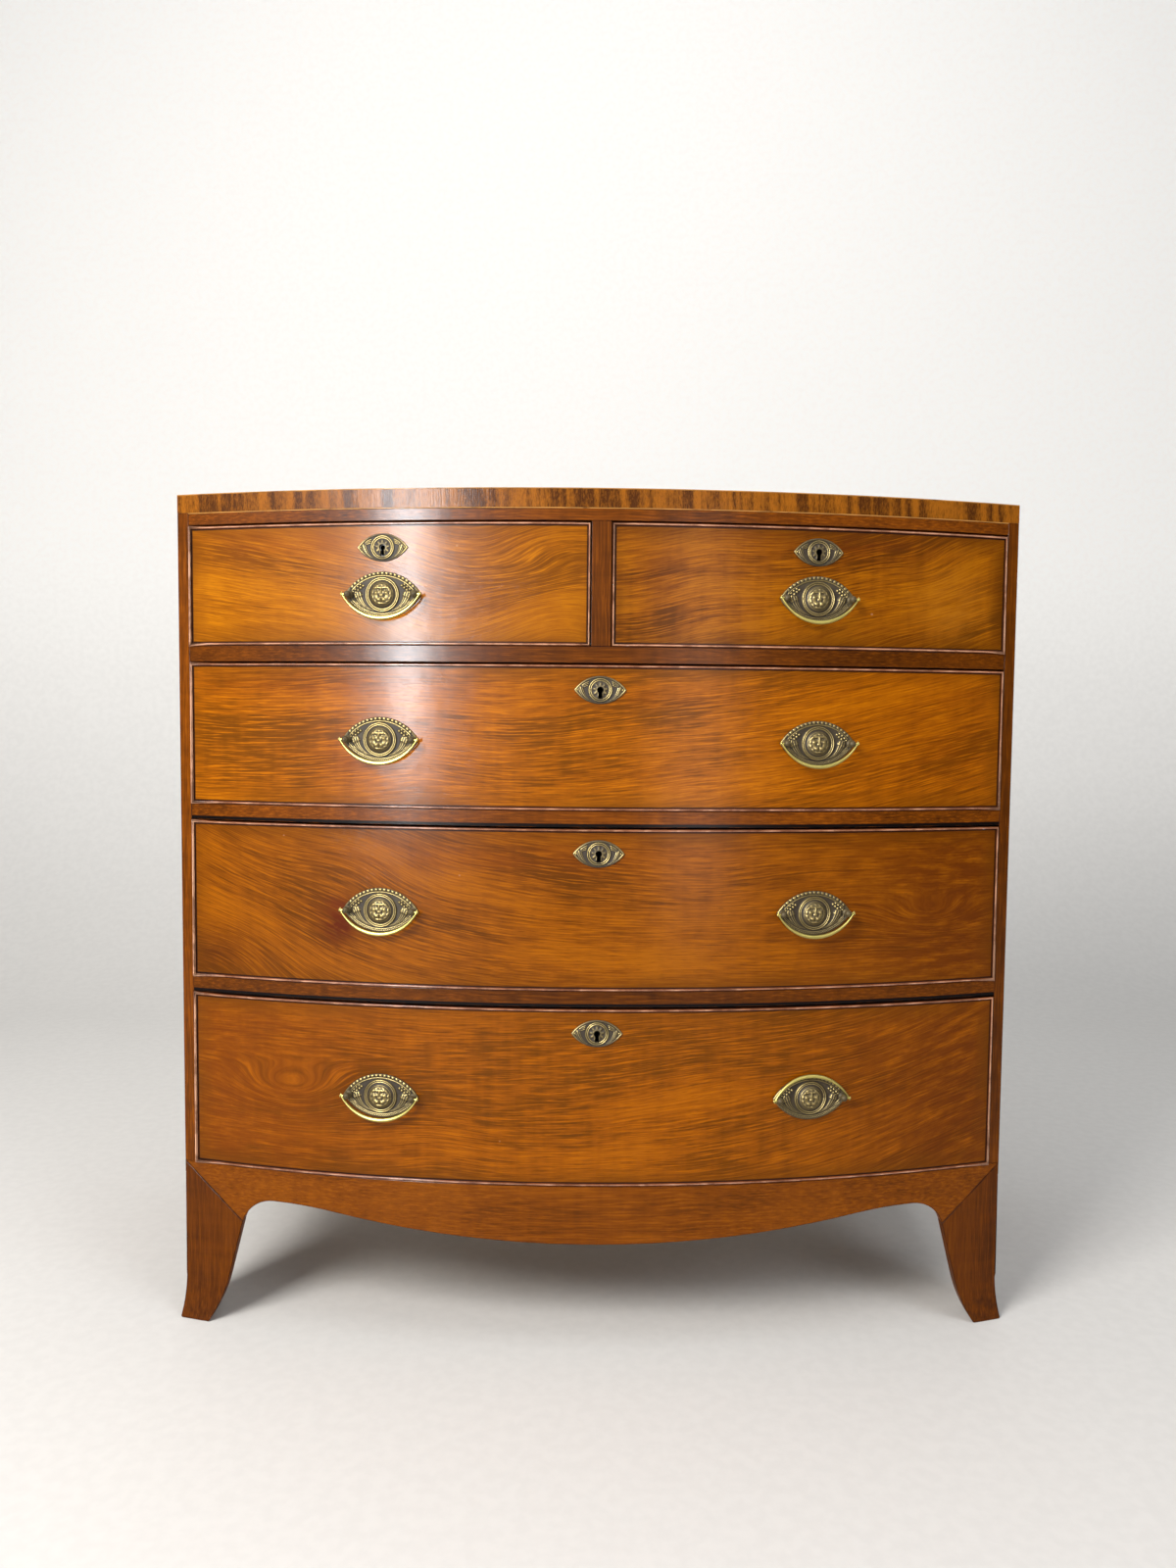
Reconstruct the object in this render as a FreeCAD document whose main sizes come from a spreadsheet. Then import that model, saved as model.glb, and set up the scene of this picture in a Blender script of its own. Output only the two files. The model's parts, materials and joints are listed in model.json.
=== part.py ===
"""Bow front chest of drawers: two short drawers over three long ones, on splayed bracket feet.

Every sub-part is an object of one parametric document. Its sizes are bound to the sheet Sizes, which
holds the driving dimensions, and to the sheet Places, which works positions out from them.

Frame: X to the right, Y to the back, Z up, in millimetres. The origin is on the floor, under the
middle of the whole piece. The bowed front faces -Y, and its curve is one arc about a vertical axis.
"""

import FreeCAD, Part
import math
import os
import re

import Sketcher

# ---------------------------------------------------------------------------------- sizes

SIZES = {
    # carcass
    "carcass_width": 1060,
    "carcass_depth": 460,  # from the front corners to the back
    "bow_rise": 80,  # how far the middle of the front stands before the corners
    "side_thickness": 15,
    "top_thickness": 23,
    "bottom_thickness": 16,
    "rail_thickness": 20,
    "rail_depth": 70,  # from the front corners to the rail's straight back edge
    "top_rail_height": 15.5,
    "partition_post_width": 24,
    "partition_board_thickness": 12,
    # drawer openings, from the floor up
    "base_height": 208,  # top edge of the apron, where the lowest drawer stands
    "lower_opening": 223.5,
    "middle_opening": 201,
    "upper_opening": 178,
    "short_opening": 149,
    # carcass joinery
    "tenon_length": 6,
    "tenon_height": 10,
    "tenon_inset": 12,
    "back_thickness": 10,
    "back_rebate": 8,
    "back_board_count": 5,
    "back_board_gap": 0.8,
    "runner_width": 35,
    "runner_groove": 6,
    "dustboard_thickness": 8,
    "dustboard_gap": 0.1,
    "centre_runner_width": 70,
    "guide_height": 14,
    "kicker_width": 24,
    "stop_width": 34,
    "stop_depth": 14,
    "stop_height": 5,
    "stop_gap": 0.3,
    "nail_head_radius": 3,
    "nail_head_thickness": 1,
    "nail_head_sink": 0.4,
    "nail_shank_radius": 1.1,
    "nail_length": 32,
    # banding and stringing on the front edge of the top
    "band_thickness": 1.5,
    "string_thickness": 1.2,
    # base
    "apron_thickness": 18,
    "apron_drop": 75,  # below the top edge, in the middle
    "arch_drop": 41.2,  # from the top edge down to the top of each arch
    "arch_inset": 121.5,  # from the carcass side to the top of the arch
    "arch_radius": 43.5,
    "arch_shoulder_radius": 490,
    "foot_top_width": 79,
    "foot_mitre_height": 136,
    "foot_knee_width": 60,
    "foot_knee_height": 60,
    "foot_inner_radius": 180,
    "foot_flare": 7,
    "rear_bracket_thickness": 15,
    "corner_block_width": 25,
    "corner_block_foot": 30,
    "glue_block_length": 60,
    "glue_block_width": 20,
    "glue_block_seat": 0.3,
    # drawers
    "drawer_side_gap": 1,
    "drawer_top_gap": 2,
    "drawer_run_gap": 0.3,
    "drawer_back_gap": 8,
    "drawer_front_thickness": 24,
    "lining_thickness": 9,
    "lining_drop": 6,  # how far the sides stop below the top of the front
    "drawer_back_drop": 14,
    "drawer_bottom_thickness": 7,
    "drawer_bottom_rise": 9,
    "drawer_bottom_groove": 4,
    "bead_thickness": 3.2,
    "bead_depth": 10,
    "bead_proud": 1.8,
    "face_overlap": 0.5,  # how far the face is let into the core that the beads lie on
    "tail_pitch": 43,  # from one front dovetail to the next, before whole ones are fitted in
    "tail_overlap": 1,
    "front_tail_length": 13,
    "tail_taper": 2.5,
    "tail_pin_width": 7,
    # locks
    "keyhole_drop": 30,
    "keyhole_radius": 3,
    "keyhole_slot_width": 3.6,
    "keyhole_slot_length": 9.5,
    "lock_proud": 0.5,  # how far the lock stands out behind the drawer front
    "lock_plate_width": 66,
    "lock_plate_height": 50,
    "lock_plate_thickness": 2,
    "lock_case_width": 48,
    "lock_case_height": 46,
    "lock_case_depth": 11,
    "lock_wall": 2.3,
    "lock_pin_radius": 1.3,
    "bolt_width": 18,
    "bolt_thickness": 6,
    "bolt_length": 27,
    "bolt_sink": 0.5,
    "bolt_travel": 8,
    "bolt_clearance": 0.15,
    "bolt_talon_radius": 4,
    "mortise_margin": 1.5,
    "screw_head_radius": 3,
    "screw_head_height": 1.1,
    "screw_shank_radius": 1.4,
    "screw_length": 12,
    "screw_inset": 5,
    # brasses
    "plate_half_width": 48,
    "plate_half_height": 27.5,
    "plate_thickness": 1.9,
    "plate_seat": 0.1,
    "boss_ring_radius": 21,
    "boss_ring_height": 1.8,
    "boss_dome_radius": 14.5,
    "boss_dome_top_radius": 8.7,
    "boss_dome_height": 5,
    "post_spread": 41.5,
    "post_shank_radius": 2.4,
    "post_collar_radius": 4.6,
    "post_collar_height": 2.6,
    "post_ball_radius": 4.2,
    "post_hole_clearance": 0.2,
    "post_tail": 29.5,
    "nut_width": 11,
    "nut_thickness": 3,
    "nut_seat": 0.7,
    "bail_pivot_depth": 9,
    "bail_outer_width": 49,
    "bail_outer_drop": 31,
    "bail_inner_width": 47,
    "bail_inner_drop": 26,
    "bail_thickness": 4.2,
    "bail_tip_rise": 2.6,
    "bail_pin_radius": 1.5,
    "bail_pin_clearance": 0.06,
    "bail_pin_length": 9,
    "bail_pin_proud": 1,
    "bail_lean": 8,
    "escutcheon_half_width": 29.5,
    "escutcheon_half_height": 16.8,
    "escutcheon_thickness": 1.2,
    "escutcheon_boss_radius": 10.5,
    "escutcheon_proud": 3,
    "escutcheon_pin_spread": 24.8,
    "escutcheon_pin_radius": 0.9,
    "escutcheon_pin_length": 10,
    "escutcheon_pin_proud": 0.5,
    "long_handle_offset": 267,
    "long_handle_drop": 4.5,
    "short_handle_drop": 13,
}

# Worked out from the sizes above, in this order.
PLACES = {
    "half_width": "carcass_width / 2",
    "inner_half": "half_width - side_thickness",
    "corner_y": "-(carcass_depth - bow_rise - escutcheon_proud) / 2",
    "back_y": "corner_y + carcass_depth",
    "back_inner_y": "back_y - back_thickness",
    "rail_back_y": "corner_y + rail_depth",
    "bow_radius": "(half_width^2 + bow_rise^2) / (2 * bow_rise)",
    "bow_centre_y": "corner_y - bow_rise + bow_radius",
    "bottom_z": "base_height - bottom_thickness",
    "lower_rail_z": "base_height + lower_opening",
    "middle_floor_z": "lower_rail_z + rail_thickness",
    "middle_rail_z": "middle_floor_z + middle_opening",
    "upper_floor_z": "middle_rail_z + rail_thickness",
    "upper_rail_z": "upper_floor_z + upper_opening",
    "short_floor_z": "upper_rail_z + rail_thickness",
    "top_rail_z": "short_floor_z + short_opening",
    "top_z": "top_rail_z + top_rail_height",
    "overall_height": "top_z + top_thickness",
    "post_half": "partition_post_width / 2",
    "inner_apron_x": "half_width - apron_thickness",
    # the mitre between the front and the sides of the base, seen from above
    "inner_mitre_y": "bow_centre_y - sqrt((bow_radius - apron_thickness)^2 - inner_apron_x^2)",
    "mitre_slope": "(inner_mitre_y - corner_y) / apron_thickness",
    # the apron's lower edge: two arcs that meet where their slopes are equal
    "arch_x": "half_width - arch_inset",
    "apron_low_z": "base_height - apron_drop",
    "arch_height": "base_height - arch_drop",
    "shoulder_fall": "2 * (arch_height - apron_low_z) * arch_x / (arch_x^2 + (arch_height - apron_low_z)^2)",
    "shoulder_x": "arch_x - arch_shoulder_radius * shoulder_fall",
    "belly_radius": "shoulder_x / shoulder_fall",
    "shoulder_z": "apron_low_z + belly_radius - sqrt(belly_radius^2 - shoulder_x^2)",
    # the foot's inner edge: a straight run from the mitre to the knee, then an arc to the floor
    "foot_run": "sqrt((foot_top_width - foot_knee_width)^2 + (foot_mitre_height - foot_knee_height)^2)",
    "foot_cos": "(foot_mitre_height - foot_knee_height) / foot_run",
    "foot_sin": "(foot_top_width - foot_knee_width) / foot_run",
    "sweep_centre_u": "foot_knee_width - foot_inner_radius * foot_cos",
    "sweep_centre_z": "foot_knee_height + foot_inner_radius * foot_sin",
    "toe_width": "sweep_centre_u + sqrt(foot_inner_radius^2 - sweep_centre_z^2)",
    "flare_radius": "(foot_knee_height^2 + foot_flare^2) / (2 * foot_flare)",
    "toe_inside": "sqrt((flare_radius + apron_thickness)^2 - foot_knee_height^2) - flare_radius",
    "arch_centre_z": "arch_height - arch_radius",
    "arch_end_u": "arch_inset - sqrt(arch_radius^2 - (foot_mitre_height - arch_centre_z)^2)",
    "side_mitre_u": "foot_top_width * (base_height - bottom_z) / (base_height - foot_mitre_height)",
    # drawers
    "drawer_back_y": "back_inner_y - drawer_back_gap",
    # locks and brasses, in their own frame: Y is the depth behind the drawer's face
    "lock_back": "drawer_front_thickness + lock_proud",
    "lock_front": "lock_back - lock_plate_thickness - lock_case_depth",
    "bolt_mid_y": "lock_front + lock_wall + bolt_clearance + bolt_thickness / 2",
    "plate_face": "-(plate_seat + plate_thickness)",
    "bail_outer_radius": "(bail_outer_width^2 + bail_outer_drop^2) / (2 * bail_outer_drop)",
    "bail_inner_radius": "(bail_inner_width^2 + bail_inner_drop^2) / (2 * bail_inner_drop)",
    "short_handle_offset": "(inner_half + post_half) / 2",
}

BACK_TAILS = 3  # dovetails at each back corner of a drawer
LONG_STOP_SHARE = 0.7  # how far out the stops of a long drawer stand, as a share of the half width
SHORT_STOP_SHARES = {"inner": 0.25, "outer": 0.75}  # the same across the width of a short drawer
NAIL_SHARES = {"left": 0.2, "right": 0.8}  # where the nails stand across a back board
BLOCK_SHARES = (0.25, 0.65)  # where the glue blocks behind the apron stand, of the half width

doc = FreeCAD.newDocument("BowFrontChest")


def spell(text):
    """The expression with each known name led by the sheet that holds it."""

    def lead(found):
        name = found.group(0)
        if name in SIZES:
            return "Sizes." + name
        return "Places." + name if name in PLACES else name

    return re.sub(r"[a-z][a-z_0-9]*", lead, text)


def fill_sheets():
    """The two sheets: driving dimensions as plain numbers, and the places worked out from them."""
    sizes = doc.addObject("Spreadsheet::Sheet", "Sizes")
    for row, (alias, size) in enumerate(SIZES.items(), 1):
        sizes.set(f"A{row}", alias)
        sizes.set(f"B{row}", str(size))
        sizes.setAlias(f"B{row}", alias)
    doc.recompute()
    places = doc.addObject("Spreadsheet::Sheet", "Places")
    for row, (alias, text) in enumerate(PLACES.items(), 1):
        places.set(f"A{row}", alias)
        places.set(f"B{row}", "=" + spell(text).replace("Places.", ""))
        places.setAlias(f"B{row}", alias)
    doc.recompute()
    return sizes


sizes_sheet = fill_sheets()


def value(text):
    """What an expression comes to now, as a plain number."""
    found = sizes_sheet.evalExpression(spell(text))
    return float(getattr(found, "Value", found))


def bind(thing, **texts):
    """Binds properties to expressions. Two underscores in a key stand for a dot."""
    for key, text in texts.items():
        thing.setExpression(key.replace("__", "."), spell(text))
    return thing


def place(thing, x="0", y="0", z="0"):
    return bind(thing, Placement__Base__x=x, Placement__Base__y=y, Placement__Base__z=z)


# ---------------------------------------------------------------------------------- shapes


def box(name, x, y, z):
    """A block between two expressions on each axis."""
    thing = doc.addObject("Part::Box", name)
    spans = {"Length": x, "Width": y, "Height": z}
    bind(thing, **{side: f"({high}) - ({low})" for side, (low, high) in spans.items()})
    return place(thing, x[0], y[0], z[0])


AXES = {"x": (0, 1, 0), "y": (-1, 0, 0)}  # what a cylinder turns about, a quarter turn, to lie along each


def rod(name, along, start, radius, length):
    """A cylinder from start towards + of the axis it lies along."""
    thing = doc.addObject("Part::Cylinder", name)
    bind(thing, Radius=radius, Height=length)
    if along != "z":
        thing.Placement.Rotation = FreeCAD.Rotation(FreeCAD.Vector(*AXES[along]), 90)
    return place(thing, *start)


def cut(name, base, *tools):
    thing = doc.addObject("Part::Cut", name)
    thing.Base = base
    thing.Tool = tools[0] if len(tools) == 1 else fuse(name + "_tools", *tools)
    return thing


def common(name, base, tool):
    thing = doc.addObject("Part::Common", name)
    thing.Base = base
    thing.Tool = tool
    return thing


def fuse(name, *things):
    thing = doc.addObject("Part::MultiFuse", name)
    thing.Shapes = list(things)
    return thing


def group(name, *things):
    """Separate solids that share one node or one tool."""
    thing = doc.addObject("Part::Compound", name)
    thing.Links = list(things)
    return thing


def mirrored(name, source):
    thing = doc.addObject("Part::Mirroring", name)
    thing.Source = source
    thing.Normal = FreeCAD.Vector(1, 0, 0)
    return thing


def new_body(name):
    return doc.addObject("PartDesign::Body", name)


def outline(body, plane, start, steps):
    """A closed, fully constrained sketch on one of the body's origin planes.

    start is a point, and each step is ("line", x, y) or ("arc", x, y, centre x, centre y, way), where way
    is 1 for an anticlockwise arc and -1 for a clockwise one. A line closes the outline.
    """
    sketch = body.newObject("Sketcher::SketchObject", body.Name + "_outline")
    feature = next(f for f in body.Origin.OriginFeatures if f.Role == plane)
    sketch.AttachmentSupport = [(feature, "")]
    sketch.MapMode = "FlatFace"

    def pin(kind, element, point, text):
        number = sketch.addConstraint(Sketcher.Constraint(kind, -1, 1, element, point, value(text)))
        sketch.setExpression(f"Constraints[{number}]", spell(text))

    here = (value(start[0]), value(start[1]))
    last = len(steps)
    ends = []  # for each element, the numbers of its start point and its end point
    for number, step in enumerate(steps + [("line", *start)]):
        there = (value(step[1]), value(step[2]))
        if step[0] == "line":
            ends.append((1, 2))
            sketch.addGeometry(Part.LineSegment(FreeCAD.Vector(*here, 0), FreeCAD.Vector(*there, 0)))
        else:
            centre = FreeCAD.Vector(value(step[3]), value(step[4]), 0)
            radius = math.hypot(here[0] - centre.x, here[1] - centre.y)
            first, second = (here, there) if step[5] > 0 else (there, here)
            angles = [math.atan2(p[1] - centre.y, p[0] - centre.x) for p in (first, second)]
            circle = Part.Circle(centre, FreeCAD.Vector(0, 0, 1), radius)
            sketch.addGeometry(Part.ArcOfCircle(circle, angles[0], angles[1]))
            ends.append((1, 2) if step[5] > 0 else (2, 1))
            pin("DistanceX", number, 3, step[3])
            pin("DistanceY", number, 3, step[4])
        here = there
        if number:
            sketch.addConstraint(
                Sketcher.Constraint("Coincident", number - 1, ends[-2][1], number, ends[-1][0])
            )
        if number < last and step[0] == "line":
            pin("DistanceX", number, ends[-1][1], step[1])
            pin("DistanceY", number, ends[-1][1], step[2])
        elif number < last:
            upright = abs(there[0] - centre.x) > abs(there[1] - centre.y)  # the way the arc runs at its end
            pin("DistanceY" if upright else "DistanceX", number, ends[-1][1], step[2 if upright else 1])
    sketch.addConstraint(Sketcher.Constraint("Coincident", last, ends[-1][1], 0, ends[0][0]))
    pin("DistanceX", 0, ends[0][0], start[0])
    pin("DistanceY", 0, ends[0][0], start[1])
    return sketch


def pad(body, sketch, length):
    thing = body.newObject("PartDesign::Pad", sketch.Name + "_pad")
    thing.Profile = sketch
    return bind(thing, Length=length)


def bow_y(x, radius="bow_radius"):
    """Y of the bow of that radius at x."""
    return f"bow_centre_y - sqrt(({radius})^2 - ({x})^2)"


def bowed_board(name, left, right, radius, back, bottom, top):
    """A level board with a bowed front edge and a straight back edge."""
    body = new_body(name)
    steps = [
        ("arc", right, bow_y(right, radius), "0", "bow_centre_y", 1),
        ("line", right, back),
        ("line", left, back),
    ]
    sketch = outline(body, "XY_Plane", (left, bow_y(left, radius)), steps)
    pad(body, sketch, f"({top}) - ({bottom})")
    return place(body, z=bottom)


def bowed_strip(name, left, right, inner, outer, bottom, top, body=None, rise="0"):
    """An upright strip that follows the bow between two radii. A second one may join the same body."""
    fresh = body is None
    body = new_body(name) if fresh else body
    steps = [
        ("arc", right, bow_y(right, outer), "0", "bow_centre_y", 1),
        ("line", right, bow_y(right, inner)),
        ("arc", left, bow_y(left, inner), "0", "bow_centre_y", -1),
    ]
    sketch = outline(body, "XY_Plane", (left, bow_y(left, outer)), steps)
    bind(sketch, AttachmentOffset__Base__z=rise)
    pad(body, sketch, f"({top}) - ({bottom})")
    return place(body, z=bottom) if fresh else body


def eye(name, half_width, half_height, front, back):
    """A plate with the outline of an eye: where two wide cylinders overlap."""
    radius = f"(({half_width})^2 + ({half_height})^2) / (2 * {half_height})"
    halves = [
        rod(
            f"{name}_{side}", "y", ("0", front, f"{sign}({radius} - {half_height})"),
            radius, f"{back} - ({front})"
        )
        for side, sign in (("upper", "-"), ("lower", ""))
    ]
    return common(name, *halves)


NODES = {}


def node(label, thing):
    """Keeps a finished sub-part under the name of its file."""
    thing.Label = label
    NODES[label] = thing
    return thing


# ---------------------------------------------------------------------------------- carcass

TENONED = {  # boards let into the sides: floor and thickness
    "bottom_board": ("bottom_z", "bottom_thickness"),
    "lower_rail": ("lower_rail_z", "rail_thickness"),
    "middle_rail": ("middle_rail_z", "rail_thickness"),
    "upper_rail": ("upper_rail_z", "rail_thickness"),
    "top_rail": ("top_rail_z", "top_rail_height"),
}


def tenon(name, board, end):
    """The stub tenon at the right or left end of a board, which is also the shape of its mortise."""
    floor, thickness = TENONED[board]
    middle = f"{floor} + {thickness} / 2"
    x = {
        "right": ("inner_half", "inner_half + tenon_length"),
        "left": ("-inner_half - tenon_length", "-inner_half")
    }
    y = ("corner_y + tenon_inset", "rail_back_y - tenon_inset")
    return box(name, x[end], y, (f"{middle} - tenon_height / 2", f"{middle} + tenon_height / 2"))


def tenoned(name, board, *mortises):
    """A board between the sides with its two tenons, less the mortises for lock bolts."""
    tenons = [tenon(f"{name}_{end}_tenon", name, end) for end in ("left", "right")]
    whole = fuse(f"{name}_with_tenons", board, *tenons)
    return node(name, cut(name, whole, *mortises) if mortises else whole)


def on_bow(thing, x, z):
    """Puts something made about its own origin on the drawer face at x, turned to face straight out."""
    place(thing, x, bow_y(x), z)
    return bind(thing, Placement__Rotation__Angle=f"asin(({x}) / bow_radius)")


def bolt_mortise(name, x, z):
    """The pocket over a drawer that its lock bolt rises into."""
    half = "(bolt_width / 2 + mortise_margin)"
    deep = "(bolt_thickness / 2 + mortise_margin)"
    pocket = box(
        name + "_pocket",
        (f"-{half}", half),
        (f"bolt_mid_y - {deep}", f"bolt_mid_y + {deep}"),
        ("-mortise_margin", "bolt_travel + mortise_margin"),
    )
    return on_bow(group(name, pocket), x, z)


def make_rails(nail_holes):
    for name, (floor, thickness) in TENONED.items():
        top = f"{floor} + {thickness}"
        if name == "bottom_board":
            radius, back = "bow_radius - apron_thickness", "back_inner_y"
        else:
            radius, back = "bow_radius", "rail_back_y"
        board = bowed_board(name + "_board", "-inner_half", "inner_half", radius, back, floor, top)
        mortises = []
        if name == "top_rail":
            mortises = [
                bolt_mortise("left_short_mortise", "-short_handle_offset", floor),
                bolt_mortise("right_short_mortise", "short_handle_offset", floor),
                bowed_strip(
                    "string_rebate",
                    "-inner_half",
                    "inner_half",
                    "bow_radius - string_thickness",
                    "bow_radius + string_thickness",
                    "top_z - string_thickness",
                    "top_z",
                ),
            ]
        elif name == "bottom_board":
            mortises = nail_holes
        else:
            mortises = [bolt_mortise(name + "_mortise", "0", floor)]
        tenoned(name, board, *mortises)


def make_front_zone():
    """Everything before the two mitres that part the bowed base from its sides."""
    body = new_body("front_zone")
    reach = "2 * apron_thickness"
    outer_x, outer_y = f"half_width + {reach}", f"corner_y - mitre_slope * {reach}"
    inner_x, inner_y = f"inner_apron_x - {reach}", f"inner_mitre_y + mitre_slope * {reach}"
    far = "corner_y - 2 * bow_rise - 2 * apron_thickness"
    corners = [
        (outer_x, outer_y),
        (inner_x, inner_y),
        (f"-({inner_x})", inner_y),
        (f"-({outer_x})", outer_y),
        (f"-({outer_x})", far),
        (outer_x, far),
    ]
    sketch = outline(body, "XY_Plane", corners[0], [("line", *corner) for corner in corners[1:]])
    pad(body, sketch, "base_height")
    return body


def make_sides(front_zone):
    """The right side board, with its bowed front edge and the rebate for the back, and its mirror image."""
    body = new_body("side_board")
    steps = [
        ("arc", "half_width", bow_y("half_width"), "0", "bow_centre_y", 1),
        ("line", "half_width", "back_y"),
        ("line", "inner_half + back_rebate", "back_y"),
        ("line", "inner_half + back_rebate", "back_inner_y"),
        ("line", "inner_half", "back_inner_y"),
    ]
    sketch = outline(body, "XY_Plane", ("inner_half", bow_y("inner_half")), steps)
    pad(body, sketch, "top_z - bottom_z")
    place(body, z="bottom_z")
    housings = [tenon(f"{name}_housing", name, "right") for name in TENONED]
    node("right_side", cut("right_side", body, front_zone, *housings))
    node("left_side", mirrored("left_side", NODES["right_side"]))


def make_top():
    face = "bow_radius - band_thickness"
    board = bowed_board("top_board", "-half_width", "half_width", face, "back_y", "top_z", "overall_height")
    node("top_board", board)
    ends = ("-half_width", "half_width")
    band_top = "overall_height - string_thickness"
    node("top_crossbanding", bowed_strip("top_crossbanding", *ends, face, "bow_radius", "top_z", band_top))
    upper = bowed_strip("upper_string", *ends, face, "bow_radius", band_top, "overall_height")
    lower = bowed_strip(
        "lower_string",
        "-inner_half",
        "inner_half",
        "bow_radius - string_thickness",
        "bow_radius",
        "top_z - string_thickness",
        "top_z",
    )
    node("stringing", group("stringing", upper, lower))


def make_partition():
    """The post that shows between the short drawers, and the thin board behind it."""
    post = bowed_board(
        "partition_post", "-post_half", "post_half", "bow_radius",
        "rail_back_y", "short_floor_z", "top_rail_z"
    )
    half = "partition_board_thickness / 2"
    board = box(
        "partition_board", (f"-{half}", half), ("rail_back_y", "back_inner_y"), ("short_floor_z", "top_z")
    )
    node("partition", group("partition", post, board))


RUNNER_LEVELS = {"lower": "lower_rail_z", "middle": "middle_rail_z", "upper": "upper_rail_z"}


def make_dustboards():
    """Thin boards between the drawers, tongued into the runners."""
    low = "(rail_thickness - dustboard_thickness) / 2"
    edge = "inner_half - runner_width + runner_groove - dustboard_gap"
    y = ("rail_back_y + dustboard_gap", "back_inner_y")
    boards = []
    for level, floor in RUNNER_LEVELS.items():
        z = (f"{floor} + {low}", f"{floor} + {low} + dustboard_thickness")
        if level == "upper":
            inner = "centre_runner_width / 2 - runner_groove + dustboard_gap"
            boards.append(box("upper_right_dustboard", (inner, edge), y, z))
            boards.append(box("upper_left_dustboard", (f"-({edge})", f"-({inner})"), y, z))
        else:
            boards.append(box(f"{level}_dustboard", (f"-({edge})", edge), y, z))
    node("dustboards", group("dustboards", *boards))


def runner(name, x, floor, grooves):
    """A bearer under a drawer, grooved along each named edge for the dustboard."""
    y = ("rail_back_y", "back_inner_y")
    bar = box(name + "_bar", x, y, (floor, f"{floor} + rail_thickness"))
    low = "(rail_thickness - dustboard_thickness) / 2"
    z = (f"{floor} + {low}", f"{floor} + {low} + dustboard_thickness")
    spans = {"low": (x[0], f"{x[0]} + runner_groove"), "high": (f"{x[1]} - runner_groove", x[1])}
    return cut(name, bar, *[box(f"{name}_{edge}_groove", spans[edge], y, z) for edge in grooves])


def stop(name, x, floor):
    """A block on the rail that the drawer front comes up against."""
    depth = "drawer_front_thickness + stop_gap"
    block = box(
        name + "_block", ("-stop_width / 2", "stop_width / 2"),
        (depth, f"{depth} + stop_depth"), ("0", "stop_height")
    )
    return on_bow(group(name, block), x, floor)


def make_runners(nail_holes):
    """Runners, guides, kickers, stops and the rear top rail: the plain pine fittings inside the carcass."""
    y = ("rail_back_y", "back_inner_y")
    pieces = []
    for level, floor in RUNNER_LEVELS.items():
        pieces.append(
            runner(f"{level}_right_runner", ("inner_half - runner_width", "inner_half"), floor, ["low"])
        )
        pieces.append(
            runner(f"{level}_left_runner", ("-inner_half", "-inner_half + runner_width"), floor, ["high"])
        )
    half = "centre_runner_width / 2"
    pieces.append(runner("centre_runner", (f"-{half}", half), "upper_rail_z", ["low", "high"]))
    board = "partition_board_thickness / 2"
    guide_z = ("short_floor_z", "short_floor_z + guide_height")
    kicker_z = ("top_rail_z", "top_z")
    rear = "back_inner_y - runner_width"
    pieces += [
        box("right_guide", (board, "post_half"), y, guide_z),
        box("left_guide", ("-post_half", f"-{board}"), y, guide_z),
        box("right_centre_kicker", (board, f"{board} + kicker_width"), ("rail_back_y", rear), kicker_z),
        box(
            "left_centre_kicker", (f"-({board} + kicker_width)", f"-{board}"), ("rail_back_y", rear), kicker_z
        ),
        box("right_kicker", ("inner_half - kicker_width", "inner_half"), ("rail_back_y", rear), kicker_z),
        box("left_kicker", ("-inner_half", "-inner_half + kicker_width"), ("rail_back_y", rear), kicker_z),
    ]
    for side, x in (("right", (board, "inner_half")), ("left", ("-inner_half", f"-{board}"))):
        blank = box(f"{side}_rear_rail_blank", x, (rear, "back_inner_y"), kicker_z)
        pieces.append(cut(f"{side}_rear_rail", blank, *nail_holes))
    for level, floor in (("lower", "base_height"), ("middle", "middle_floor_z"), ("upper", "upper_floor_z")):
        for side, sign in (("left", "-"), ("right", "")):
            pieces.append(stop(f"{level}_{side}_stop", f"{sign}(inner_half * {LONG_STOP_SHARE})", floor))
    for side, sign in (("left", "-"), ("right", "")):
        for part, share in SHORT_STOP_SHARES.items():
            x = f"{sign}(post_half + (inner_half - post_half) * {share})"
            pieces.append(stop(f"{side}_short_{part}_stop", x, "short_floor_z"))
    node("runners", group("runners", *pieces))


def make_back():
    """Upright back boards in the rebate of the sides, each nailed at its top and bottom."""
    edge = "(inner_half + back_rebate)"
    pitch = f"(2 * {edge} / back_board_count)"
    boards, nails, holes = [], [], []
    count = int(value("back_board_count"))
    nail_heights = {"bottom": "bottom_z + bottom_thickness / 2", "top": "(top_rail_z + top_z) / 2"}
    for number in range(count):
        left = f"-{edge} + {pitch} * {number}"
        span = (f"{left} + back_board_gap / 2", f"{left} + {pitch} - back_board_gap / 2")
        boards.append(
            box(f"back_board_{number + 1}", span, ("back_inner_y", "back_y"), ("bottom_z", "top_z"))
        )
        for where, z in nail_heights.items():
            for edge_name, share in NAIL_SHARES.items():
                name = f"nail_{number + 1}_{where}_{edge_name}"
                x = f"{left} + {pitch} * {share}"
                seat = "back_y - nail_head_sink - nail_head_thickness"
                head = rod(name + "_head", "y", (x, seat, z), "nail_head_radius", "nail_head_thickness")
                shank_start = f"{seat} - nail_length"
                shank = rod(name + "_shank", "y", (x, shank_start, z), "nail_shank_radius", "nail_length")
                nails.append(fuse(name, head, shank))
                sunk = rod(name + "_sunk", "y", (x, seat, z), "nail_head_radius", "2 * nail_head_thickness")
                holes.append(fuse(name + "_hole", sunk, shank))
    node("back_boards", cut("back_boards", group("back_board_set", *boards), *holes))
    node("back_nails", group("back_nails", *nails))
    return holes


# ---------------------------------------------------------------------------------- base


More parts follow.
